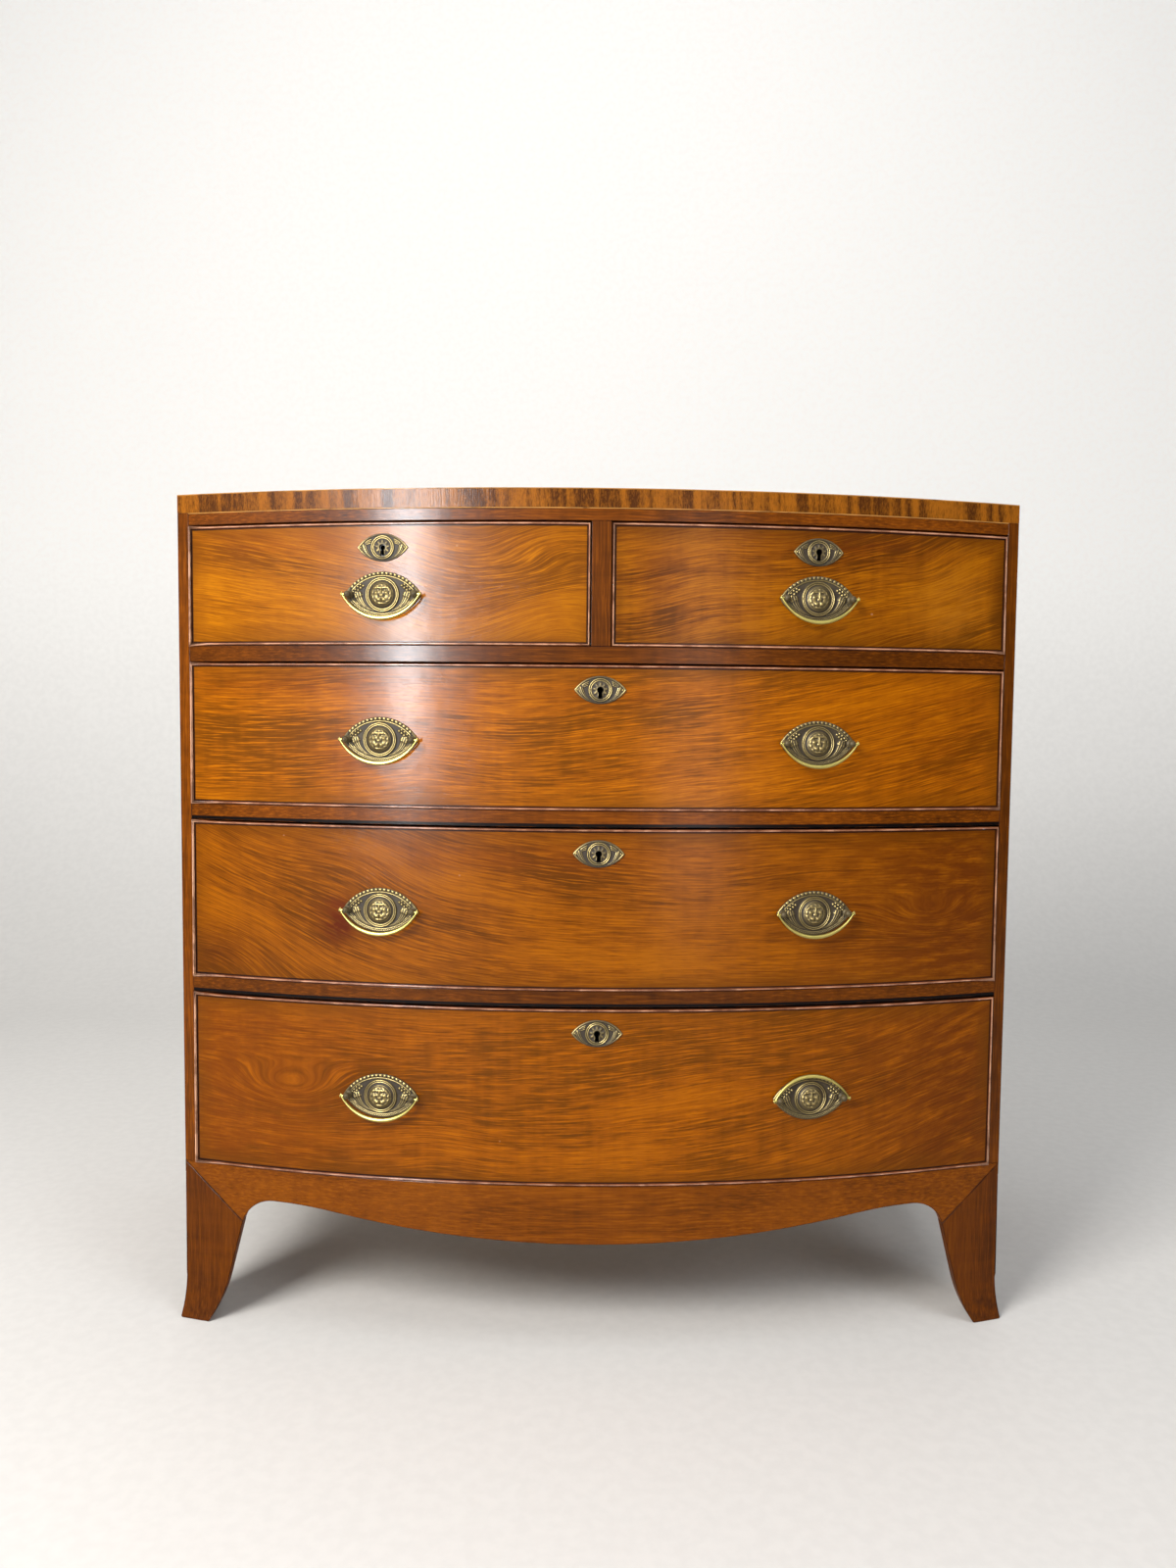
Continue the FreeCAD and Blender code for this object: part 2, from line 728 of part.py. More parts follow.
def make_apron(front_zone):
    """The front apron, with mitred ends, an arch beside each foot and a low belly between them."""
    body = new_body("apron_face")
    end = "half_width - arch_end_u"
    peak = "arch_height"
    shoulder_centre = "arch_height - arch_shoulder_radius"
    belly_centre = "apron_low_z + belly_radius"
    steps = [
        ("line", "-half_width", "base_height"),
        ("line", f"-({end})", "foot_mitre_height"),
        ("arc", "-arch_x", peak, "-arch_x", "arch_centre_z", -1),
        ("arc", "-shoulder_x", "shoulder_z", "-arch_x", shoulder_centre, -1),
        ("arc", "shoulder_x", "shoulder_z", "0", belly_centre, 1),
        ("arc", "arch_x", peak, "arch_x", shoulder_centre, -1),
        ("arc", end, "foot_mitre_height", "arch_x", "arch_centre_z", -1),
    ]
    sketch = outline(body, "XZ_Plane", ("half_width", "base_height"), steps)
    pad(body, sketch, "3 * bow_rise")
    place(body, y="corner_y + bow_rise")
    ends = ("-half_width", "half_width")
    ring = bowed_strip(
        "apron_ring", *ends, "bow_radius - apron_thickness",
        "bow_radius", "apron_low_z - apron_thickness", "base_height"
    )
    bent = common("apron_bent", ring, body)
    node("front_apron", common("front_apron", bent, front_zone))


def foot_outline(body, plane, at, top, top_u, outer):
    """A foot leaf seen square on. at() turns a distance in from the corner into a coordinate."""
    toe = ("arc", at("toe_width"), "0", at("sweep_centre_u"), "sweep_centre_z")
    way = 1 if value(at("1")) < value(at("0")) else -1
    start = (at("arch_end_u"), "foot_mitre_height")
    knee = ("line", at("foot_knee_width"), "foot_knee_height")
    return outline(body, plane, start, [knee, (*toe, way), *outer, ("line", at(top_u), top)])


def flared_profile(body, at):
    """A leaf's section with its foot bent outwards. at() turns a distance in from the face into x."""
    centre = (at("-flare_radius"), "foot_knee_height")
    steps = [
        ("line", at("0"), "foot_knee_height"),
        ("arc", at("-foot_flare"), "0", *centre, 1),
        ("line", at("toe_inside"), "0"),
        ("arc", at("apron_thickness"), "foot_knee_height", *centre, -1),
        ("line", at("apron_thickness"), "base_height"),
    ]
    return outline(body, "XZ_Plane", (at("0"), "base_height"), steps)


def make_feet(front_zone):
    """Right feet, each of two leaves, and their mirror images."""
    ring = new_body("flared_ring")
    sketch = flared_profile(ring, lambda depth: f"bow_radius - ({depth})")
    turned = ring.newObject("PartDesign::Revolution", "flared_ring_turned")
    turned.Profile = sketch
    turned.ReferenceAxis = (sketch, ["V_Axis"])
    turned.Angle = 360
    place(ring, y="bow_centre_y")

    face = new_body("front_leaf_face")
    flare = [
        ("line", "half_width + foot_flare", "0"),
        ("arc", "half_width", "foot_knee_height", "half_width + flare_radius", "foot_knee_height", -1),
    ]
    face_sketch = foot_outline(face, "XZ_Plane", lambda u: f"half_width - ({u})", "base_height", "0", flare)
    pad(face, face_sketch, "3 * bow_rise")
    place(face, y="corner_y + bow_rise")
    front_leaf = common("front_leaf", common("front_leaf_bent", face, ring), front_zone)

    flank = new_body("flank")
    flank_sketch = flared_profile(flank, lambda depth: f"half_width - ({depth})")
    pad(flank, flank_sketch, "carcass_depth + 2 * bow_rise")
    place(flank, y="back_y")

    leaves = {}
    for name, at in (("front", lambda u: f"corner_y + ({u})"), ("rear", lambda u: f"back_y - ({u})")):
        leaf = new_body(f"{name}_side_leaf_face")
        overhang = "-4 * foot_flare" if name == "front" else "0"
        outer = [("line", at(overhang), "0"), ("line", at(overhang), "bottom_z")]
        leaf_sketch = foot_outline(leaf, "YZ_Plane", at, "bottom_z", "side_mitre_u", outer)
        pad(leaf, leaf_sketch, "2 * apron_thickness")
        place(leaf, x="inner_apron_x")
        leaves[name] = common(f"{name}_side_leaf_bent", flank, leaf)
    front_side_leaf = cut("front_side_leaf", leaves["front"], front_zone)
    node("front_right_foot", group("front_right_foot", front_leaf, front_side_leaf))

    bracket = new_body("rear_bracket")
    heel = [("line", "inner_apron_x", "0"), ("line", "inner_apron_x", "bottom_z")]
    bracket_sketch = foot_outline(
        bracket, "XZ_Plane", lambda u: f"half_width - ({u})", "bottom_z", "foot_top_width", heel
    )
    pad(bracket, bracket_sketch, "rear_bracket_thickness")
    place(bracket, y="back_y")
    node("rear_right_foot", group("rear_right_foot", leaves["rear"], bracket))
    node("front_left_foot", mirrored("front_left_foot", NODES["front_right_foot"]))
    node("rear_left_foot", mirrored("rear_left_foot", NODES["rear_right_foot"]))
    make_side_aprons()


def make_side_aprons():
    """The aprons under the sides, between the mitres of the feet."""
    body = new_body("side_apron_face")
    front, rear = "corner_y", "back_y"
    steps = [
        ("arc", f"{front} + arch_inset", "arch_height", f"{front} + arch_inset", "arch_centre_z", -1),
        ("line", f"{rear} - arch_inset", "arch_height"),
        ("arc", f"{rear} - arch_end_u", "foot_mitre_height", f"{rear} - arch_inset", "arch_centre_z", -1),
        ("line", f"{rear} - side_mitre_u", "bottom_z"),
        ("line", f"{front} + side_mitre_u", "bottom_z"),
    ]
    sketch = outline(body, "YZ_Plane", (f"{front} + arch_end_u", "foot_mitre_height"), steps)
    pad(body, sketch, "apron_thickness")
    place(body, x="inner_apron_x")
    node("side_aprons", group("side_aprons", body, mirrored("left_side_apron", body)))


def make_glue_blocks():
    """Blocks in the corners of the feet and behind the aprons, under the carcass bottom."""
    blocks = []
    corner_x = ("inner_apron_x - corner_block_width", "inner_apron_x")
    corner_z = ("corner_block_foot", "bottom_z")
    front_y = ("inner_mitre_y + glue_block_seat", "inner_mitre_y + glue_block_seat + corner_block_width")
    rear_edge = "back_y - rear_bracket_thickness"
    rear_y = (f"{rear_edge} - corner_block_width", rear_edge)
    under = ("bottom_z - glue_block_width", "bottom_z")
    side_x = ("inner_apron_x - glue_block_width", "inner_apron_x")
    for name, x, y, z in (
        ("front_corner_block", corner_x, front_y, corner_z),
        ("rear_corner_block", corner_x, rear_y, corner_z),
        (
            "side_block_1", side_x,
            ("corner_y + arch_inset", "corner_y + arch_inset + glue_block_length"), under
        ),
        ("side_block_2", side_x, ("back_y - arch_inset - glue_block_length", "back_y - arch_inset"), under),
    ):
        right = box(name, x, y, z)
        blocks += [right, mirrored(f"{name}_mirrored", right)]
    for number, share in enumerate(BLOCK_SHARES, 1):
        for side, sign in (("left", "-"), ("right", "")):
            half = "glue_block_length / 2"
            seat = "apron_thickness + glue_block_seat"
            block = box(
                f"front_block_{number}_{side}", (f"-{half}", half),
                (seat, f"{seat} + glue_block_width"), under
            )
            blocks.append(
                on_bow(group(f"front_block_{number}_{side}_set", block), f"{sign}(half_width * {share})", "0")
            )
    node("glue_blocks", group("glue_blocks", *blocks))


# ---------------------------------------------------------------------------------- drawers


def tail(name, x, y, floor, height, taper_to):
    """One dovetail: a wedge between two y's, widest at the end that taper_to names."""
    wedge = doc.addObject("Part::Wedge", name)
    narrow_first = taper_to == "back"
    bind(
        wedge,
        Xmin="0",
        Xmax=f"({x[1]}) - ({x[0]})",
        X2min="0",
        X2max=f"({x[1]}) - ({x[0]})",
        Ymin="0",
        Ymax=f"({y[1]}) - ({y[0]})",
        Zmin="tail_taper" if narrow_first else "0",
        Zmax=f"{height} - tail_taper" if narrow_first else height,
        Z2min="0" if narrow_first else "tail_taper",
        Z2max=height if narrow_first else f"{height} - tail_taper",
    )
    return place(wedge, x[0], y[0], floor)


def tails(name, x, y, low, high, count, taper_to):
    """A row of dovetails up a corner, with pins between them."""
    pitch = f"((({high}) - ({low}) - tail_pin_width) / {count})"
    return [
        tail(
            f"{name}_{n + 1}", x, y, f"{low} + tail_pin_width + {pitch} * {n}",
            f"({pitch} - tail_pin_width)", taper_to
        )
        for n in range(count)
    ]


def keyhole(name, front, back):
    """A keyhole through a thickness, about its own origin."""
    half = "keyhole_slot_width / 2"
    slot = box(name + "_slot", (f"-{half}", half), (front, back), ("-keyhole_slot_length", "0"))
    return fuse(
        name, rod(name + "_eye", "y", ("0", front, "0"), "keyhole_radius", f"{back} - ({front})"), slot
    )


def lock_parts(name, x, top):
    """The till lock in the back of a drawer front: its pocket, its case with screws, and its bolt."""
    half_plate, half_case = "lock_plate_width / 2", "lock_case_width / 2"
    inner = "lock_back - lock_plate_thickness"
    plate = ((f"-{half_plate}", half_plate), (inner, "lock_back"), ("-lock_plate_height", "0"))
    case = ((f"-{half_case}", half_case), ("lock_front", inner), ("-lock_case_height", "0"))
    hollow = box(
        name + "_hollow",
        (f"-{half_case} + lock_wall", f"{half_case} - lock_wall"),
        ("lock_front + lock_wall", "lock_front + lock_wall + bolt_thickness + 2 * bolt_clearance"),
        ("-lock_case_height + lock_wall", "-lock_wall"),
    )
    half_slot = "bolt_width / 2 + bolt_clearance"
    slot = box(
        name + "_slot",
        (f"-({half_slot})", half_slot),
        ("lock_front + lock_wall", "lock_front + lock_wall + bolt_thickness + 2 * bolt_clearance"),
        ("-2 * lock_wall", "lock_wall"),
    )
    hole = place(
        keyhole(name + "_keyhole", "lock_front - lock_wall", "lock_front + 2 * lock_wall"), z="-keyhole_drop"
    )
    body = fuse(name + "_solid", box(name + "_plate", *plate), box(name + "_case", *case))
    shell = cut(name + "_shell", body, hollow, slot, hole)
    pin = rod(
        name + "_pin", "y", ("0", "lock_front", "-keyhole_drop"),
        "lock_pin_radius", "lock_wall * 2 + bolt_thickness"
    )
    screws, shanks = [], []
    for column, sign in (("left", "-"), ("right", "")):
        for row, z in (("upper", "-screw_inset"), ("lower", "-lock_plate_height + screw_inset")):
            place_x = f"{sign}({half_plate} - screw_inset)"
            screw = f"{name}_{column}_{row}_screw"
            head = rod(
                screw + "_head", "y", (place_x, "lock_back", z), "screw_head_radius", "screw_head_height"
            )
            shank = rod(
                screw + "_shank", "y", (place_x, "lock_back - screw_length", z),
                "screw_shank_radius", "screw_length"
            )
            screws.append(fuse(screw, head, shank))
            shanks.append(shank)
    case_and_pin = fuse(name + "_case_and_pin", cut(name + "_drilled", shell, *shanks), pin)
    lock = on_bow(group(name, case_and_pin, *screws), x, top)
    pocket = fuse(
        name + "_pocket", box(name + "_plate_pocket", *plate), box(name + "_case_pocket", *case), *shanks
    )

    half = "bolt_width / 2"
    blank = box(
        name + "_bolt_blank",
        (f"-{half}", half),
        ("bolt_mid_y - bolt_thickness / 2", "bolt_mid_y + bolt_thickness / 2"),
        ("-bolt_sink - bolt_length", "-bolt_sink"),
    )
    talon = rod(
        name + "_bolt_talon",
        "y",
        ("0", "bolt_mid_y - bolt_thickness", "-keyhole_drop + lock_pin_radius"),
        "bolt_talon_radius",
        "2 * bolt_thickness",
    )
    bolt = on_bow(group(name + "_bolt", cut(name + "_bolt_plate", blank, talon)), x, top)
    return on_bow(group(name + "_pocket_set", pocket), x, top), lock, bolt


def escutcheon(name, x, z):
    """A keyhole plate with its raised boss and two pins, and the keyhole behind it."""
    face = "-(plate_seat + escutcheon_thickness)"
    plate = eye(name + "_plate", "escutcheon_half_width", "escutcheon_half_height", face, "-plate_seat")
    boss = rod(
        name + "_boss",
        "y",
        ("0", "-escutcheon_proud", "0"),
        "escutcheon_boss_radius",
        "escutcheon_proud - plate_seat",
    )
    hole = keyhole(name + "_keyhole", "-2 * escutcheon_proud", "lock_front + lock_wall")
    pins, pin_holes = [], []
    for side, sign in (("left", "-"), ("right", "")):
        start = (f"{sign}escutcheon_pin_spread", f"{face} - escutcheon_pin_proud", "0")
        pins.append(rod(f"{name}_{side}_pin", "y", start, "escutcheon_pin_radius", "escutcheon_pin_length"))
        pin_holes.append(
            rod(f"{name}_{side}_pin_hole", "y", start, "escutcheon_pin_radius", "escutcheon_proud")
        )
    whole = cut(name + "_pierced", fuse(name + "_blank", plate, boss), hole, *pin_holes)
    return on_bow(group(name, whole, *pins), x, z), on_bow(group(name + "_bore", hole, *pins), x, z)


def handle_plate(name, x, z):
    """A backplate with its two posts and nuts, and the holes that the posts need in the drawer front."""
    plate = eye(name + "_eye", "plate_half_width", "plate_half_height", "plate_face", "-plate_seat")
    ring = rod(
        name + "_ring",
        "y",
        ("0", "plate_face - boss_ring_height", "0"),
        "boss_ring_radius",
        "boss_ring_height + plate_thickness",
    )
    dome = doc.addObject("Part::Cone", name + "_dome")
    bind(dome, Radius1="boss_dome_radius", Radius2="boss_dome_top_radius", Height="boss_dome_height")
    dome.Placement.Rotation = FreeCAD.Rotation(FreeCAD.Vector(1, 0, 0), 90)
    place(dome, y="plate_face - boss_ring_height")
    posts, nuts, holes, bores = [], [], [], []
    for side, sign in (("left", "-"), ("right", "")):
        at = f"{sign}post_spread"
        shank = rod(
            f"{name}_{side}_shank", "y", (at, "plate_face", "0"),
            "post_shank_radius", "post_tail - plate_face"
        )
        collar = rod(
            f"{name}_{side}_collar",
            "y",
            (at, "plate_face - post_collar_height", "0"),
            "post_collar_radius",
            "post_collar_height",
        )
        neck = rod(
            f"{name}_{side}_neck", "y", (at, "-bail_pivot_depth", "0"),
            "post_shank_radius", "bail_pivot_depth - plate_seat"
        )
        ball = doc.addObject("Part::Sphere", f"{name}_{side}_ball")
        bind(ball, Radius="post_ball_radius")
        place(ball, at, "-bail_pivot_depth")
        eyelet = rod(
            f"{name}_{side}_eyelet",
            "x",
            (f"{at} - 2 * post_ball_radius", "-bail_pivot_depth", "0"),
            "bail_pin_radius + bail_pin_clearance",
            "4 * post_ball_radius",
        )
        posts.append(
            cut(f"{name}_{side}_post", fuse(f"{name}_{side}_post_blank", shank, collar, neck, ball), eyelet)
        )
        nut_y = ("drawer_front_thickness + nut_seat", "drawer_front_thickness + nut_seat + nut_thickness")
        blank = box(
            f"{name}_{side}_nut_blank",
            (f"{at} - nut_width / 2", f"{at} + nut_width / 2"),
            nut_y,
            ("-nut_width / 2", "nut_width / 2"),
        )
        thread = rod(
            f"{name}_{side}_thread", "y", (at, nut_y[0], "0"), "post_shank_radius", "nut_thickness"
        )
        nuts.append(cut(f"{name}_{side}_nut", blank, thread))
        for holder, label, start, length in (
            (holes, "plate_hole", "plate_face - plate_thickness", "3 * plate_thickness"),
            (bores, "front_bore", "-plate_thickness", "drawer_front_thickness + 2 * plate_thickness"),
        ):
            radius = "post_shank_radius + post_hole_clearance"
            holder.append(rod(f"{name}_{side}_{label}", "y", (at, start, "0"), radius, length))
    face = cut(name + "_face", fuse(name + "_blank", plate, ring, dome), *holes)
    brass = on_bow(group(name, face, *posts, *nuts), x, z)
    return brass, on_bow(group(name + "_bores", *bores), x, z)


def bail(name, x, z, raised=False):
    """A swinging crescent handle on two pins that turn in the posts. It hangs, or is stored raised."""
    outer = ("0", "-bail_thickness / 2", "bail_outer_radius - bail_outer_drop")
    inner = ("0", "-bail_thickness", "bail_inner_radius - bail_inner_drop")
    disc = rod(name + "_disc", "y", outer, "bail_outer_radius", "bail_thickness")
    bite = rod(name + "_bite", "y", inner, "bail_inner_radius", "2 * bail_thickness")
    band = box(
        name + "_band",
        ("-2 * bail_outer_width", "2 * bail_outer_width"),
        ("-bail_thickness", "bail_thickness"),
        ("-2 * bail_outer_drop", "bail_tip_rise"),
    )
    crescent = common(name + "_crescent", cut(name + "_lune", disc, bite), band)
    reach = "(bail_outer_width + bail_pin_proud)"
    pins = [
        rod(f"{name}_left_pin", "x", (f"-{reach}", "0", "0"), "bail_pin_radius", "bail_pin_length"),
        rod(
            f"{name}_right_pin", "x", (f"{reach} - bail_pin_length", "0", "0"),
            "bail_pin_radius", "bail_pin_length"
        ),
    ]
    swung = fuse(name + "_swung", crescent, *pins)
    if raised:
        swung.Placement.Rotation = FreeCAD.Rotation(FreeCAD.Vector(1, 0, 0), -1)
        bind(swung, Placement__Rotation__Angle="-(180 + bail_lean)")
    place(swung, y="-bail_pivot_depth")
    node(name, on_bow(group(name, swung), x, z))


def make_beading(name, left, right, floor, height):
    """Four mitred strips of cock beading round a drawer front."""
    top = f"{floor} + {height}"
    ring = bowed_strip(
        name + "_ring", left, right, "bow_radius - bead_depth", "bow_radius + bead_proud", floor, top
    )
    t = "bead_thickness"
    outer = {"a": (left, floor), "b": (right, floor), "c": (right, top), "d": (left, top)}
    inner = {
        "a": (f"{left} + {t}", f"{floor} + {t}"),
        "b": (f"{right} - {t}", f"{floor} + {t}"),
        "c": (f"{right} - {t}", f"{top} - {t}"),
        "d": (f"{left} + {t}", f"{top} - {t}"),
    }
    strips = []
    for side, (p, q) in {"bottom": "ab", "right": "bc", "top": "cd", "left": "da"}.items():
        body = new_body(f"{name}_{side}_face")
        corners = [outer[p], outer[q], inner[q], inner[p]]
        sketch = outline(body, "XZ_Plane", corners[0], [("line", *c) for c in corners[1:]])
        pad(body, sketch, "4 * bow_rise")
        place(body, y="corner_y + 2 * bow_rise")
        strips.append(common(f"{name}_{side}", ring, body))
    node(name, group(name, *strips))


def make_drawer(name, left_edge, right_edge, opening_floor, opening, handles, keyhole_x, handle_drop):
    """One drawer. handles gives the x of each pull and whether its bail is stored raised."""
    left, right = f"({left_edge} + drawer_side_gap)", f"({right_edge} - drawer_side_gap)"
    floor = f"({opening_floor} + drawer_run_gap)"
    height = f"({opening} - drawer_run_gap - drawer_top_gap)"
    top = f"({floor} + {height})"

    core = bowed_strip(
        name + "_core",
        left,
        right,
        "bow_radius - drawer_front_thickness",
        "bow_radius - bead_depth",
        floor,
        top,
    )
    bowed_strip(
        name + "_face",
        f"{left} + bead_thickness",
        f"{right} - bead_thickness",
        "bow_radius - bead_depth - face_overlap",
        "bow_radius",
        f"{floor} + bead_thickness",
        f"{top} - bead_thickness",
        body=core,
        rise="bead_thickness",
    )

    inner_left, inner_right = f"{left} + lining_thickness", f"{right} - lining_thickness"
    board_z = (f"{floor} + drawer_bottom_rise", f"{floor} + drawer_bottom_rise + drawer_bottom_thickness")
    base = bowed_board(
        name + "_bottom",
        f"{inner_left} - drawer_bottom_groove",
        f"{inner_right} + drawer_bottom_groove",
        "bow_radius - drawer_front_thickness + drawer_bottom_groove",
        "drawer_back_y",
        *board_z,
    )

    lining_top = f"({top} - lining_drop)"
    back_top = f"({top} - drawer_back_drop)"
    back_y = ("drawer_back_y - lining_thickness", "drawer_back_y")
    corners = {"left": (left, inner_left), "right": (inner_right, right)}
    front_tails, back_tails = [], []
    tail_count = round(value(f"({opening}) / tail_pitch"))
    for side, x in corners.items():
        face_end = f"{right}" if side == "right" else f"{left}"
        shoulder = bow_y(face_end, "bow_radius - drawer_front_thickness")
        front_y = (f"{shoulder} - front_tail_length", f"{shoulder} + tail_overlap")
        front_tails += tails(
            f"{name}_{side}_front_tail", x, front_y,
            f"{board_z[1]} - tail_pin_width", lining_top, tail_count, "front"
        )
        back_tails += tails(
            f"{name}_{side}_back_tail", x, back_y, board_z[1], back_top, BACK_TAILS, "back"
        )

    plates, bores = [], []
    middle = f"({floor} + {height} / 2 - {handle_drop})"
    for number, (x, _) in enumerate(handles, 1):
        brass, bore = handle_plate(f"{name}_plate_{number}", x, middle)
        plates.append(brass)
        bores.append(bore)
    cover, key_bore = escutcheon(name + "_escutcheon", keyhole_x, f"{top} - keyhole_drop")
    pocket, lock, bolt = lock_parts(name + "_lock", keyhole_x, top)

    front = cut(name + "_front", core, *front_tails, base, *bores, key_bore, pocket)
    back_blank = box(name + "_back_blank", (left, right), back_y, (board_z[1], back_top))
    back = cut(name + "_back", back_blank, *back_tails)
    linings = []
    for side, x in corners.items():
        face_end = f"{right}" if side == "right" else f"{left}"
        start = f"{bow_y(face_end, 'bow_radius - drawer_front_thickness')} - front_tail_length"
        blank = box(f"{name}_{side}_blank", x, (start, "drawer_back_y"), (floor, lining_top))
        linings.append(cut(f"{name}_{side}_lining", blank, front, back, base))

    node(name + "_front", front)
    node(name + "_box", group(name + "_box", *linings, back, base))
    make_beading(name + "_beading", left, right, floor, height)
    node(name + "_brasses", group(name + "_brasses", *plates, cover))
    node(name + "_lock", lock)
    node(name + "_lock_bolt", bolt)
    for side, (x, raised) in zip(("left", "right"), handles):
        bail(f"{name}_bail" if len(handles) == 1 else f"{name}_{side}_bail", x, middle, raised)


def make_drawers():
    long_handles = ("-long_handle_offset", "long_handle_offset")
    for level, floor in (("lower", "base_height"), ("middle", "middle_floor_z"), ("upper", "upper_floor_z")):
        raised = level == "lower"  # the right bail of the lowest drawer is stored turned up
        handles = list(zip(long_handles, (False, raised)))
        make_drawer(
            f"{level}_long",
            "-inner_half",
            "inner_half",
            floor,
            f"{level}_opening",
            handles,
            "0",
            "long_handle_drop",
        )
    for side, edges, x in (
        ("left", ("-inner_half", "-post_half"), "-short_handle_offset"),
        ("right", ("post_half", "inner_half"), "short_handle_offset"),
    ):
        make_drawer(
            f"{side}_short",
            *edges,
            "short_floor_z",
            "short_opening",
            [(x, False)],
            x,
            "short_handle_drop",
        )


# ---------------------------------------------------------------------------------- build


def check_and_export():
    doc.recompute()
    failed = [o.Name for o in doc.Objects if {"Invalid", "Error"} & set(o.State)]
    if failed:
        raise RuntimeError(f"these objects didn't recompute: {failed}")
    for label, thing in NODES.items():
        if thing.Shape.isNull() or not thing.Shape.isValid() or not thing.Shape.Solids:
            raise RuntimeError(f"{label} has no valid shape")
    os.makedirs("parts", exist_ok=True)
    for label, thing in NODES.items():
        thing.Shape.exportStep(os.path.join("parts", label + ".step"))


def main():
    nail_holes = make_back()
    make_rails(nail_holes)
    zone = make_front_zone()
    make_sides(zone)
    make_top()
    make_partition()
    make_dustboards()
    make_runners(nail_holes)
    make_apron(zone)
    make_feet(zone)
    make_glue_blocks()
    make_drawers()
    check_and_export()


main()
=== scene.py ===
"""Bow front chest of drawers: its woods, mouldings and brasses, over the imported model.

The file has the layout of an add-on. Each piece, or group of like pieces, is one operator, and main()
calls them in order. Sizes and colours that a user may change are properties of the scene.

Frame: metres, X to the right, Y to the back, Z up, with the origin on the floor.
"""

import json
import math

import bmesh
import bpy
import numpy as np
from bpy.props import FloatProperty, FloatVectorProperty, IntProperty, PointerProperty
from mathutils import Matrix, Vector

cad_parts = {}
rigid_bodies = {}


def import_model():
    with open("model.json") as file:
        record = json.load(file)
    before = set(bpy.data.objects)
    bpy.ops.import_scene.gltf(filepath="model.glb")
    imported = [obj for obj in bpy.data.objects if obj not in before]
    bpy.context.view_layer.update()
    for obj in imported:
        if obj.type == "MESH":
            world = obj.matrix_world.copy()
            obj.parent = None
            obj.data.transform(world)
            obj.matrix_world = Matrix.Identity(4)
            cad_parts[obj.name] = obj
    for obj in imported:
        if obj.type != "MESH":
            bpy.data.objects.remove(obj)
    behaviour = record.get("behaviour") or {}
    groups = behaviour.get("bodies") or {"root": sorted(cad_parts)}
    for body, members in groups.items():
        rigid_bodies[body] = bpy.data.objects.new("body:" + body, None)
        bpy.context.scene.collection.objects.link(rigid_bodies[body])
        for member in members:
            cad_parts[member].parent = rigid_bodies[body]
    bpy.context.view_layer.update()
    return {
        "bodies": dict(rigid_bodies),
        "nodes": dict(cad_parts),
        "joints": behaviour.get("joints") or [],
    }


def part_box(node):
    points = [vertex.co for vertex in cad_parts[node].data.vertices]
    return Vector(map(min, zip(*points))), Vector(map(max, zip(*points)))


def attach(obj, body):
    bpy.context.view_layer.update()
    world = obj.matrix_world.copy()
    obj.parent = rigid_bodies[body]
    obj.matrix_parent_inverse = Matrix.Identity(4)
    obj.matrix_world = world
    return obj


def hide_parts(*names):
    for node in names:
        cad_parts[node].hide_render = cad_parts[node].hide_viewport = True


bl_info = {
    "name": "Bow Front Chest of Drawers",
    "version": (1, 0, 0),
    "blender": (4, 5, 0),
    "location": "View3D > Sidebar > Chest",
    "description": "Dresses a bow front chest of drawers in figured mahogany and stamped brass",
    "category": "Object",
}

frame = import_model()
JOINTS = {joint["name"]: joint for joint in frame["joints"]}

HALF_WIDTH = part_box("top_board")[1][0]
FRONT_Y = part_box("top_crossbanding")[0][1]
TOP_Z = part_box("top_board")[1][2]

LONG_DRAWERS = ("lower_long", "middle_long", "upper_long")
SHORT_DRAWERS = ("left_short", "right_short")
DRAWERS = LONG_DRAWERS + SHORT_DRAWERS

VENEER = 0.0016  # thickness of the veneer on the drawer fronts
BEAD_BACK = 0.001  # edges of a bead further than this outside the bow are rounded
BEAD_NOSE_WEAR_AND_HIGHLIGHT = (0.80, 0.45, 0.28)  # the bead's nose: rubbed bare wood, and a painted highlight
FLAT_BOARD = 0.02  # a board of a drawer lower than this is its bottom
KEYHOLE_BELOW_TOP = 0.030  # from a drawer front's upper edge
KEYHOLE_SHADE_REACH = 0.013  # radius of the painted shade round a keyhole, which shows only through the hole of its plate
PIVOT_OUT = 0.009  # of a bail, from the face of the wood
RAISED_TURN = math.radians(188)  # of a bail that stands up
SCREW_INSET = 0.005  # of a lock's screws, from its edges
SCREW_REACH = 0.0031  # faces this near to a screw's middle are the screw's
SCREW_SUNK = 0.0011  # how deep its head lies
SHARP_ANGLE = math.radians(40)  # edges over this are rounded
SOFT_ANGLE = math.radians(35)  # edges under this are shaded smooth
MERGE_DISTANCE = 1e-6


# ---------------------------------------------------------------------------------- properties


def size(name, description, default):
    return FloatProperty(name=name, description=description, default=default, unit="LENGTH", precision=5)


def colour(name, description, default):
    return FloatVectorProperty(
        name=name, description=description, default=default, size=3, min=0, max=1, subtype="COLOR"
    )


